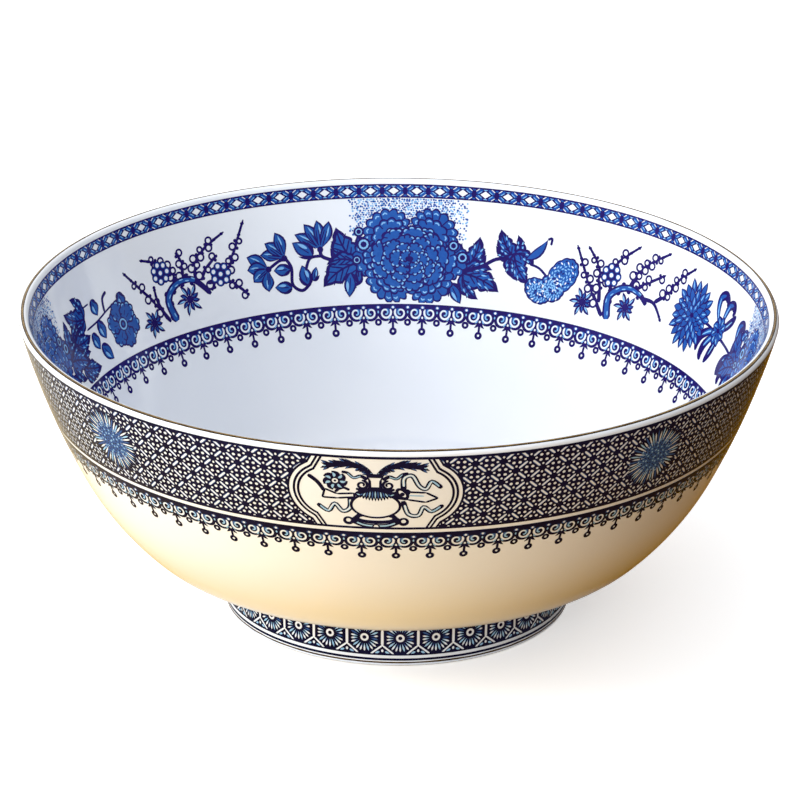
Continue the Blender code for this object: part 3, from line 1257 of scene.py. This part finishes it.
def ruffle(x, s, across, down, turn, scallops, inset=0.0):
    """Oval with a scalloped edge, drawn smaller by the inset."""
    count = 5 * scallops
    edge = []
    for i in range(count):
        angle = FULL_TURN * i / count
        wave = 0.88 + 0.14 * abs(math.sin(angle * scallops / 2))
        u, v = (across * wave - inset) * math.cos(angle), (down * wave - inset) * math.sin(angle)
        edge.append(turned_about(x, s, u, v, turn))
    return edge


def peony_petal(drawing, x, s, across, down, heading, scallops, chance):
    """A ruffled petal: light glints just inside its outer scallops and dark folds between them."""
    drawing.add("deep", ruffle(x, s, across, down, heading, scallops))
    drawing.add("mid", ruffle(x, s, across, down, heading, scallops, 0.68))
    half_scallop = math.pi / scallops

    def spot(share, angle):
        u, v = across * share * math.cos(angle), down * share * math.sin(angle)
        return turned_about(x, s, u, v, heading)

    for i in range(scallops):
        notch, middle = 2 * i * half_scallop, (2 * i + 1) * half_scallop
        if math.cos(middle) < -0.45:
            continue
        if chance.random() < 0.75:
            rim = ((0.75, -0.55), (0.81, 0.0), (0.75, 0.55))
            glint = [spot(share, middle + step * half_scallop) for share, step in rim]
            drawing.add("light", brush(glint, 0.5, steps=2))
        fold = [spot(0.86, notch), spot(chance.uniform(0.45, 0.62), notch)]
        if chance.random() < 0.7:
            drawing.add("deep", brush(fold, 0.45))


PEONY_LOBES = (
    (-13.2, 0.5, 7.6, 7.6),
    (13.4, 1.0, 7.6, 8.2),
    (-7.6, 8.4, 9.6, 7.8),
    (8.0, 8.9, 9.4, 7.8),
    (-8.2, -8.4, 9.4, 8.2),
    (8.6, -8.6, 9.6, 8.0),
)
LOBE_RUFFLES = ((1.0, 15), (0.74, 11), (0.46, 8))
HEART_ACROSS, HEART_DOWN = 11.0, 8.4
HEART_RINGS = ((1.0, 9, 3.6, 5.0), (0.70, 8, 3.3, 4.1), (0.42, 6, 2.9, 3.5), (0.18, 4, 2.2, 2.6))


def peony(drawing, x, s, chance):
    """A full peony: nested ruffles in its outer lobes, then rings of petals round its heart."""
    for size, scallops in LOBE_RUFFLES:
        inwards = 1 - 0.45 * (1 - size)
        for u, v, across, down in PEONY_LOBES:
            heading = math.atan2(v, u)
            spot = (x + u * inwards, s + v * inwards)
            peony_petal(drawing, *spot, down * size, across * size, heading, scallops, chance)
    middle = s + 1.0
    for share, petals, along, across in HEART_RINGS:
        first = chance.uniform(0, FULL_TURN)
        for i in range(petals):
            angle = first + FULL_TURN * (i + chance.uniform(-0.12, 0.12)) / petals
            u, v = HEART_ACROSS * share * math.cos(angle), HEART_DOWN * share * math.sin(angle)
            peony_petal(drawing, x + u, middle + v, along, across, angle, 9, chance)
    drawing.add("deep", oval(x, middle, 1.5, 1.0))


def peony_mist(drawing, x, s, chance):
    """Fine dots that fade out above and beside the peony."""
    rows, columns, gap = 19, 48, 0.88
    for row in range(rows):
        for column in range(columns):
            u = (column + 0.5 * (row % 2) - columns / 2) * gap + chance.uniform(-0.28, 0.28)
            v = FRIEZE_TOP + 0.5 + row * gap * 0.9 + chance.uniform(-0.22, 0.22)
            hidden = any(
                ((u - lobe_x) / across) ** 2 + ((v - s - lobe_s) / down) ** 2 < 0.8
                for lobe_x, lobe_s, across, down in PEONY_LOBES
            )
            fade = max(0.0, abs(u + 1.0) / 20.5 - 0.72) * 2.2 + max(0.0, (v - 16) / 16)
            if not hidden and chance.random() > fade:
                ink = "light" if chance.random() < 0.35 else "mid"
                drawing.add(ink, oval(x + u, v, chance.uniform(0.30, 0.46), count=5))


def magnolia(drawing, base, tips, width):
    """Long petals that spread from one calyx."""
    for tip in tips:
        blades(drawing, [(base, tip, width, 0.05)], line=1.3, fullness=1.3)
        glint = (beside(base, tip, 0.46, 0.09), beside(base, tip, 0.86, 0.06))
        drawing.add("light", leaf(*glint, 0.6))
        for aside in (-0.05, 0.04):
            vein = (beside(base, tip, 0.15, aside), beside(base, tip, 0.68, aside))
            drawing.add("deep", brush(vein, 0.4))
    drawing.add("deep", oval(*base, 1.15, count=10))


def bud(drawing, base, tip, width):
    """A round bud in its sepals."""
    blades(drawing, [(base, tip, width, 0.0)], line=1.3, fullness=1.0)
    glint = (beside(base, tip, 0.35, 0.12), beside(base, tip, 0.8, 0.08))
    drawing.add("light", leaf(*glint, width * 0.22))
    drawing.add("deep", brush([between(base, tip, 0.2), between(base, tip, 0.7)], 0.4))
    for side in SIDES:
        drawing.add("deep", leaf(base, beside(base, tip, 0.5, side * 0.34), 1.2, side * 0.1))


def open_blossom(drawing, x, s, radius, chance, petals=6):
    """A flower seen from the front, with scalloped petals round a ringed heart."""
    for i in range(petals):
        angle = FULL_TURN * (i + 0.3) / petals
        petal = polar(x, s, radius * 0.56, angle)
        peony_petal(drawing, *petal, radius * 0.46, radius * 0.46, angle, 8, chance)
        for side in (-0.2, 0.2):
            near, far = (polar(x, s, radius * share, angle + side) for share in (0.36, 0.6))
            drawing.add("deep", brush([near, far], 0.32))
    for size, ink in ((2.5, "deep"), (2.05, "light"), (1.45, "deep"), (0.6, "mid")):
        drawing.add(ink, oval(x, s, size, count=16))


def plush_bloom(drawing, lobes, chance):
    """A soft double bloom: scalloped lobes (x, s, across, down, turn) filled with short strokes."""
    count, strokes = 60, 62
    for grow, ink in ((0.0, "deep"), (-0.65, "mid")):
        for x, s, across, down, turn in lobes:
            edge = []
            for i in range(count):
                angle = FULL_TURN * i / count
                wave = 1 + 0.055 * abs(math.sin(6 * angle)) + grow / across
                u, v = across * wave * math.cos(angle), down * wave * math.sin(angle)
                edge.append(turned_about(x, s, u, v, turn))
            drawing.add(ink, edge)
    for x, s, across, down, turn in lobes:
        for i in range(strokes):
            reach, angle = math.sqrt((i + 0.5) / strokes) * 0.88, GOLDEN_ANGLE * i
            u, v = across * reach * math.cos(angle), down * reach * math.sin(angle)
            ink = ("light", "deep", "light", None, "light")[i % 5]
            spot = turned_about(x, s, u, v, turn)
            drawing.add(ink, oval(*spot, 0.58, 0.27, angle + chance.uniform(0, 2), count=6))


def plum_branch(drawing, path, blossoms, width=1.7, first=0.2):
    """A knotty twig with ringed blossoms on alternate sides and a bare tip."""
    curve = smooth(path, 6)
    drawing.add("deep", brush(path, width, width * 0.5))
    for i in range(blossoms):
        share = first + (0.80 - first) * i / max(blossoms - 1, 1)
        k = min(round(share * (len(curve) - 1)), len(curve) - 2)
        along = math.atan2(curve[k + 1][1] - curve[k][1], curve[k + 1][0] - curve[k][0])
        side = 1 if i % 2 else -1
        size = 1.85 - 0.4 * share - 0.25 * (i % 3 == 1)
        lean = side * (math.pi / 2 - 0.35 * (i % 2))
        ringlet(drawing, *polar(*curve[k], size * 0.72, along + lean), size, line=0.72)
        drawing.add("deep", oval(*polar(*curve[k], 0.8, along - side * math.pi / 2), 0.7, count=6))
    for share in (0.86, 0.94):
        k = round(share * (len(curve) - 1))
        drawing.add("deep", oval(*curve[k], 0.75, 0.6, count=8))


def blossom_cluster(drawing, x, s):
    """A dark knot of blossoms with pale hearts."""
    for i in range(7):
        drawing.add("deep", oval(*polar(x, s, 2.6, FULL_TURN * i / 7), 1.9, count=12))
    for reach, count in ((3.0, 7), (0.0, 1)):
        for i in range(count):
            heart = polar(x, s, reach, FULL_TURN * i / 7)
            drawing.add("mid", oval(*heart, 1.15, count=10))
            drawing.add(None, oval(*heart, 0.8, count=8))


def plum_trunk(drawing, path, width):
    """A bent old trunk with knots on both sides, lit here and there along its middle."""
    curve = smooth(path, 6)
    drawing.add("deep", brush(path, width, width * 0.5))
    drawing.add("mid", brush(path[:-1], width * 0.56, width * 0.28))
    for i in range(2, len(curve) - 6, 3):
        along = math.atan2(curve[i + 1][1] - curve[i][1], curve[i + 1][0] - curve[i][0])
        side = 1 if i % 2 else -1
        knot = polar(*curve[i], width * 0.42, along + side * math.pi / 2)
        drawing.add("deep", oval(*knot, width * 0.26, width * 0.17, along, count=8))
        glint = polar(*curve[i], width * 0.12, along - side * math.pi / 2)
        drawing.add("light", oval(*glint, width * 0.26, width * 0.07, along, count=6))


def grass_tuft(drawing, x, s, reach=5.6, blades_count=11):
    """Pointed leaves that spring from one place."""
    drawing.add("deep", oval(x, s, 1.4, count=10))
    for i in range(blades_count):
        angle = FULL_TURN * (i + 0.35) / blades_count
        near, far = polar(x, s, 0.4, angle), polar(x, s, reach * (0.72 + 0.28 * (i % 2)), angle)
        drawing.add("deep", leaf(near, far, 1.6, 0.06, fullness=1.3))
        glint = leaf(between(near, far, 0.3), between(near, far, 0.8), 0.6)
        drawing.add("light" if i % 2 else "mid", glint)


def aster(drawing, x, s, radius, heading):
    """A many-petalled flower seen half from the side: petals fan out from an off-centre heart."""
    for reach, petals, width in ((1.0, 21, 3.0), (0.76, 15, 3.3), (0.54, 11, 3.3), (0.34, 7, 3.0)):
        for i in range(petals):
            angle = heading + FULL_TURN * (i + reach) / petals
            away = abs(math.remainder(angle - heading, FULL_TURN)) / math.pi
            length = radius * reach * (0.80 + 0.26 * math.sin(math.pi * away) + 0.07 * (i % 2))
            near = polar(x, s, radius * max(reach - 0.5, 0.03), angle)
            far = polar(x, s, length, angle)
            drawing.add("deep", leaf(near, far, width, 0.03, fullness=1.1))
            inner = (between(near, far, 0.06), between(near, far, 0.93))
            drawing.add("mid", leaf(*inner, width - 1.0, 0.03, fullness=1.1))
            if i % 3:
                drawing.add("light", leaf(between(near, far, 0.45), between(near, far, 0.86), 0.5))
    drawing.add("deep", oval(x, s, 1.1, 0.9))


def crescent(points, width, steps=5):
    """Smooth stroke that swells in the middle and comes to a point at both ends."""
    return ribbon(smooth(points, steps), lambda t: width / 2 * math.sin(math.pi * t) ** 0.6 + 0.05)


LILY_PETALS = (
    ((-0.10, -0.15), (-0.42, -0.70), (-0.48, -1.15), (-0.22, -1.36), (0.02, -1.20), (0.0, -1.02)),
    ((0.05, -0.20), (0.12, -0.75), (0.22, -1.12), (0.46, -1.24), (0.62, -1.05), (0.56, -0.88)),
    ((0.10, -0.05), (0.42, -0.35), (0.70, -0.70), (0.86, -1.00)),
    ((-0.05, 0.10), (-0.48, 0.22), (-0.86, 0.52), (-0.98, 0.90), (-0.92, 1.22)),
    ((0.00, 0.20), (-0.34, 0.48), (-0.56, 0.86), (-0.58, 1.22), (-0.46, 1.42)),
    ((0.10, 0.20), (0.04, 0.62), (-0.06, 1.02), (-0.18, 1.40)),
)
LILY_BODY = (
    *((-0.25, -0.52), (0.08, -0.62), (0.36, -0.44), (0.46, 0.08)),
    *((0.26, 0.56), (-0.1, 0.62), (-0.36, 0.34), (-0.42, -0.08)),
)


def curled_lily(drawing, x, s, across, down):
    """A lily seen from the side: slender petals that arch away from its body into dark hooks."""
    for petal in LILY_PETALS:
        path = [(x + across * u, s + down * v) for u, v in petal]
        drawing.add("deep", crescent(path, 3.4))
        drawing.add("mid", crescent(path[:-2], 1.7))
        drawing.add("light", crescent(path[:3], 0.45))
    for u, v in LILY_BODY:
        base, tip = (x, s), (x + across * u, s + down * v)
        drawing.add("deep", leaf(base, tip, 4.2, 0.08, fullness=1.3))
        drawing.add("mid", leaf(base, between(base, tip, 0.9), 3.1, 0.08, fullness=1.3))
    for u, v in LILY_BODY:
        base, tip = (x, s), (x + across * u, s + down * v)
        drawing.add("deep", brush([between(base, tip, 0.2), between(base, tip, 0.7)], 0.45))
        glint = (beside(base, tip, 0.45, 0.1), beside(base, tip, 0.8, 0.06))
        drawing.add("light", leaf(*glint, 0.55, 0.1))
    drawing.add("deep", oval(x, s, 1.1, 0.9))


# --- Inner frieze --------------------------------------------------------------------------

FRIEZE_MIDDLE = math.radians(90.5)
FRIEZE_COPIES = 2
FRIEZE_TOP, FRIEZE_BOTTOM = 5.4, 43.0
PEONY_SPACING = circumference(INNER_REFERENCE) / 4
PEONY_OFFSET = -2.4
PEONY_HEIGHT = 26.3


def peony_group(drawing, x, chance):
    """A peony in its mist, with leaves, buds and small ringed blossoms round it."""
    peony_mist(drawing, x, PEONY_HEIGHT, chance)
    for base, tip, width, bend, lit in (
        ((-19.5, 28.5), (-26.0, 15.5), 9.5, -0.08, False),
        ((-19.0, 28.5), (-32.0, 36.5), 9.5, 0.08, False),
        ((20.5, 30.0), (25.0, 18.0), 7.5, 0.1, True),
        ((19.5, 31.5), (34.0, 37.0), 9.0, -0.06, True),
    ):
        lobed_leaf(drawing, (x + base[0], base[1]), (x + tip[0], tip[1]), width, bend, lit)
    stem(drawing, (x + 19, 31.5), (x + 26.5, 28.5), (x + 31.4, 25.5), (x + 36.4, 24.5), width=1.3)
    bud(drawing, (x - 21.5, 32.0), (x - 22.4, 40.8), 4.6)
    bud(drawing, (x + 15.5, 35.5), (x + 19.8, 42.6), 4.4)
    peony(drawing, x, PEONY_HEIGHT, chance)
    left_rings = ((-16.4, 22, 2.5), (-18.0, 17.4, 1.9), (-19.0, 27.5, 1.8))
    right_rings = ((15.7, 22, 2.1), (19.2, 26, 2.3))
    for across, down, size in left_rings + right_rings:
        ringlet(drawing, x + across, down, size, 0.7, inside="light")
        drawing.add("deep", oval(x + across, down, size * 0.45, count=8))


def right_of_peony(drawing, chance):
    """From a peony to the next one clockwise: leaves, a double bloom, plum, aster and lilies."""
    stem(drawing, (34.5, 25.0), (38.0, 23.5), (42.0, 22.8), width=0.9)
    lobed_leaf(drawing, (36.5, 24.5), (30.0, 14.5), 7.0, -0.1)
    lobed_leaf(drawing, (35.5, 22.5), (42.5, 32.5), 8.0, 0.1)
    blades(drawing, [((40.5, 24.0), (47.5, 15.8), 3.4, 0.1)], line=1.2)
    stem(drawing, (47.5, 15.8), (49.0, 15.2), (48.9, 17.6), width=0.9)
    stem(drawing, (42.0, 25.5), (46.0, 26.5), (50.5, 30.0), width=0.9)
    lobes = ((46.6, 34.4, 5.6, 4.2, 0.5), (52.0, 32.5, 5.2, 5.0, 0.0), (55.4, 27.6, 7.4, 5.2, 2.2))
    plush_bloom(drawing, lobes, chance)
    for path, blossoms in (
        (((75.0, 38.0), (69.0, 31.0), (64.5, 25.0), (59.0, 15.5)), 6),
        (((72.5, 33.5), (70.5, 26.0), (69.0, 21.0), (63.5, 15.0)), 5),
        (((77.0, 29.0), (74.0, 23.5), (77.0, 17.5), (85.0, 10.0)), 7),
        (((84.0, 25.5), (86.5, 19.0), (91.5, 14.0), (99.0, 8.5)), 8),
        (((86.5, 25.5), (91.0, 22.0), (99.0, 16.5)), 4),
        (((97.0, 27.0), (102.5, 22.0), (106.0, 16.0), (113.0, 9.5)), 7),
        (((91.0, 27.5), (97.0, 27.5), (103.0, 32.5)), 0),
    ):
        plum_branch(drawing, path, blossoms)
    blossom_cluster(drawing, 75.0, 23.0)
    trunk = ((77.5, 38.5), (76.0, 31.0), (80.0, 26.8), (85.0, 25.5), (90.0, 26.7), (93.5, 29.0))
    plum_trunk(drawing, trunk, 3.6)
    grass_tuft(drawing, 84.5, 32.5)
    grass_tuft(drawing, 65.5, 35.0)
    stem(drawing, (121.5, 25.0), (128.0, 24.5), (138.0, 25.5), (152.0, 27.0), width=1.1)
    curled_lily(drawing, 137.0, 24.0, 10.6, 9.0)
    curled_lily(drawing, 156.5, 26.5, 9.5, 8.4)
    aster(drawing, 118.0, 25.0, 12.0, 0.15)


def left_of_peony(drawing, chance):
    """From a peony to the next one the other way: magnolia, plum, an open blossom and buds."""
    for base, tips, width in (
        ((-54.5, 28.0), ((-62.3, 22.5), (-62.8, 27.2), (-61.0, 31.8), (-55.5, 36.0)), 5.0),
        ((-48.0, 24.8), ((-57.0, 22.6), (-54.8, 18.6), (-50.6, 15.2)), 4.6),
        ((-34.5, 23.0), ((-43.4, 16.8), (-39.8, 13.4), (-35.2, 12.4), (-30.8, 13.0)), 4.4),
    ):
        magnolia(drawing, base, tips, width)
    bud(drawing, (-46.3, 29.0), (-52.6, 28.8), 4.6)
    bud(drawing, (-46.3, 35.6), (-53.0, 34.8), 4.4)
    bud(drawing, (-37.3, 25.0), (-44.6, 19.6), 5.0)
    bud(drawing, (-40.0, 35.5), (-41.8, 28.0), 4.8)
    bud(drawing, (-38.0, 34.0), (-36.5, 29.0), 2.6)
    stem(drawing, (-34.5, 23.0), (-34.0, 25.5), (-29.5, 27.5), (-24, 30), width=1.3)
    stem(drawing, (-34.0, 25.3), (-38.5, 25.8), (-40.5, 30.0), width=1.1)
    stem(drawing, (-48.0, 24.5), (-45.8, 28.5), (-46.0, 34.5), (-42.5, 37.0), (-39.0, 34.5), width=1.2)
    stem(drawing, (-54.5, 28.0), (-50.0, 25.5), (-47.5, 25.5), width=1.1)
    for path, blossoms in (
        (((-78.5, 31.5), (-75.0, 27.0), (-71.5, 26.5)), 4),
        (((-79.5, 28.5), (-72.0, 27.5), (-67.0, 20.0), (-61.5, 9.0)), 8),
        (((-74.0, 28.0), (-68.5, 31.0), (-63.5, 36.0)), 4),
        (((-84.0, 26.0), (-83.0, 20.5), (-78.5, 16.5), (-69.5, 12.0)), 7),
        (((-82.0, 27.0), (-79.0, 23.5), (-73.5, 19.5)), 3),
        (((-93.0, 25.5), (-94.0, 21.0), (-98.5, 17.0), (-106.5, 13.8)), 8),
        (((-90.0, 25.5), (-88.5, 20.0), (-90.0, 15.0)), 4),
        (((-99.5, 38.0), (-104.0, 30.5), (-109.0, 24.0), (-115.8, 15.5)), 5),
        (((-100.5, 37.0), (-103.0, 30.0), (-103.0, 24.0)), 0),
    ):
        plum_branch(drawing, path, blossoms)
    blossom_cluster(drawing, -98.5, 20.5)
    blossom_cluster(drawing, -73.5, 26.5)
    trunk = ((-96.5, 38.5), (-98.0, 31.0), (-94.5, 26.8), (-89.5, 25.4), (-84.5, 26.5), (-79.0, 32.5))
    plum_trunk(drawing, trunk, 3.8)
    grass_tuft(drawing, -88.5, 32.5, 6.2)
    grass_tuft(drawing, -107.5, 36.5)
    stem(drawing, (-145.0, 27.0), (-137.0, 26.5), (-130.0, 25.0), (-121.5, 23.0))
    stem(drawing, (-148.0, 20.0), (-143.0, 19.5), (-139.0, 19.3), width=0.6)
    stem(drawing, (-131.0, 25.0), (-130.0, 20.5), (-127.0, 18.8), width=1.2)
    for base, tip in (
        ((-136.5, 18.6), (-135.5, 24.8)),
        ((-136.5, 26.5), (-135.0, 33.5)),
        ((-142.5, 29.0), (-141.0, 35.5)),
        ((-139.5, 34.5), (-135.0, 41.0)),
        ((-121.0, 21.0), (-120.0, 27.0)),
    ):
        bud(drawing, base, tip, 5.4)
    open_blossom(drawing, -123.2, 32.0, 8.8, chance)
    lobed_leaf(drawing, (-144.0, 23.0), (-157.5, 16.5), 8.5, -0.1)
    lobed_leaf(drawing, (-158.0, 28.0), (-144.0, 29.0), 7.5, 0.08)
    lobed_leaf(drawing, (-157.5, 36.0), (-144.5, 40.5), 8.0, 0.06)


def build_frieze():
    drawing = Drawing()
    chance = random.Random(7)
    right_of_peony(drawing, chance)
    left_of_peony(drawing, chance)
    for step in (-1, 0, 1):
        peony_group(drawing, step * PEONY_SPACING + PEONY_OFFSET, random.Random(5))
    area = (-PEONY_SPACING, PEONY_SPACING, FRIEZE_TOP, FRIEZE_BOTTOM)
    place = inner_place(INNER_REFERENCE, FRIEZE_MIDDLE)
    node = "inner_floral_frieze"
    ink_sheets("inner_frieze", drawing, area, FRIEZE_COPIES, place, INNER_INKS, "inner_cobalt", node)


# --- Stage, light and camera ---------------------------------------------------------------

CAMERA_DISTANCE = 1.6
CAMERA_ELEVATION = math.radians(21.15)
CAMERA_AZIMUTH = math.radians(3.5)
CAMERA_ROLL = math.radians(0.4)
CAMERA_LENS = 215.0
AIM_HEIGHT = 0.0717
AIM_ASIDE = 0.0006
FLOOR_RADIUS = 6.0
FLOOR_GLOW = 0.45
FLOOR_COLOUR = (0.94, 0.94, 0.94)
FOOT_BOUNCE = (0.92, 0.94, 0.98)
FOOT_BOUNCE_EDGE = (0.068, 0.084)
FLOOR_REACH = 0.25
FLOOR_BOUNCE = (
    (0.0, (0.86, 0.79, 0.64)),
    (0.45, (0.80, 0.48, 0.04)),
    (0.72, (0.44, 0.20, 0.0)),
    (1.0, (0.12, 0.05, 0.0)),
)
ROOM_REACH = 0.8
ROOM_RISE = (0.05, 0.45)
ROOM_LOW = ((0.0, (0.92, 0.95, 1.0)), (0.5, (0.66, 0.60, 0.48)), (1.0, (0.11, 0.07, 0.02)))
ROOM_HIGH = ((0.0, (0.95, 0.97, 1.0)), (0.5, (0.95, 0.97, 1.0)), (1.0, (0.44, 0.47, 0.52)))
ROOM_LIGHT = 1.12


def build_floor():
    """Pale floor. Light that bounces off it is white close to the foot and honey-coloured beyond."""
    mesh = bmesh.new()
    bmesh.ops.create_circle(mesh, cap_ends=True, radius=FLOOR_RADIUS, segments=96)
    data = bpy.data.meshes.new("floor")
    mesh.to_mesh(data)
    mesh.free()
    nodes = Nodes(bpy.data.materials.new("floor"))
    warm = nodes.ramp(nodes.along("X", -FLOOR_REACH, FLOOR_REACH), FLOOR_BOUNCE)
    bounce = nodes.mix(nodes.away(*FOOT_BOUNCE_EDGE), FOOT_BOUNCE, warm)
    path = nodes.tree.nodes.new("ShaderNodeLightPath")
    pale = nodes.mix(path.outputs["Is Camera Ray"], bounce, FLOOR_COLOUR)
    nodes.link(pale, nodes.shader.inputs["Base Color"])
    nodes.shader.inputs["Roughness"].default_value = 0.9
    nodes.shader.inputs["Specular IOR Level"].default_value = 0.0
    nodes.shader.inputs["Emission Color"].default_value = (*WHITE, 1.0)
    glow = nodes.tree.nodes.new("ShaderNodeMath")
    glow.operation = "MULTIPLY"
    glow.inputs[1].default_value = FLOOR_GLOW
    nodes.link(path.outputs["Is Camera Ray"], glow.inputs[0])
    nodes.link(glow.outputs[0], nodes.shader.inputs["Emission Strength"])
    data.materials.append(nodes.owner)
    in_scene("floor", data)


def build_world():
    """White backdrop, in a room that is cool above and to the left, and dark to the right."""
    nodes = Nodes(bpy.data.worlds.new("studio"), "Generated")
    level = nodes.ramp(nodes.along("X", -ROOM_REACH, ROOM_REACH), ROOM_LOW)
    overhead = nodes.ramp(nodes.along("X", -ROOM_REACH, ROOM_REACH), ROOM_HIGH)
    colour = nodes.mix(nodes.along("Z", *ROOM_RISE), level, overhead)
    room = nodes.tree.nodes["Background"]
    nodes.link(colour, room.inputs["Color"])
    room.inputs["Strength"].default_value = ROOM_LIGHT
    backdrop = nodes.tree.nodes.new("ShaderNodeBackground")
    backdrop.inputs["Color"].default_value = (*WHITE, 1.0)
    path = nodes.tree.nodes.new("ShaderNodeLightPath")
    chosen = nodes.tree.nodes.new("ShaderNodeMixShader")
    nodes.link(path.outputs["Is Camera Ray"], chosen.inputs[0])
    nodes.link(room.outputs[0], chosen.inputs[1])
    nodes.link(backdrop.outputs[0], chosen.inputs[2])
    nodes.link(chosen.outputs[0], nodes.tree.nodes["World Output"].inputs["Surface"])
    bpy.context.scene.world = nodes.owner


def softbox(name, place, size, watts, colour):
    """Square area light aimed at the bowl. The glaze does not mirror it."""
    data = bpy.data.lights.new(name, "AREA")
    data.size = size
    data.energy = watts
    data.color = colour
    light = in_scene(name, data)
    light.location = place
    light.visible_glossy = False
    aim = Vector((0.0, 0.0, HEIGHT / 2)) - Vector(place)
    light.rotation_euler = aim.to_track_quat("-Z", "Y").to_euler()


def build_lights():
    softbox("key", (-1.4, -0.5, 1.1), 0.8, 16.0, (1.0, 0.99, 0.97))
    softbox("front", (-1.0, -1.6, 0.22), 0.8, 18.0, (0.88, 0.94, 1.0))


def build_camera():
    data = bpy.data.cameras.new("camera")
    data.lens = CAMERA_LENS
    camera = in_scene("camera", data)
    level = math.cos(CAMERA_ELEVATION)
    east, north = math.sin(CAMERA_AZIMUTH) * level, -math.cos(CAMERA_AZIMUTH) * level
    away = Vector((east, north, math.sin(CAMERA_ELEVATION)))
    camera.location = Vector((0.0, 0.0, HEIGHT)) + away * CAMERA_DISTANCE
    aside = Vector((math.cos(CAMERA_AZIMUTH), math.sin(CAMERA_AZIMUTH), 0.0)) * AIM_ASIDE
    aim = Vector((0.0, 0.0, AIM_HEIGHT)) + aside - camera.location
    turn = aim.to_track_quat("-Z", "Y").to_matrix().to_4x4()
    camera.rotation_euler = (turn @ Matrix.Rotation(CAMERA_ROLL, 4, "Z")).to_euler()
    bpy.context.scene.camera = camera


def main():
    build_body()
    build_gilding()
    build_diaper()
    build_scroll_borders()
    build_lattice()
    build_foot_band()
    build_frieze()
    build_floor()
    build_world()
    build_lights()
    build_camera()
    bpy.context.scene.view_settings.view_transform = "Standard"


main()
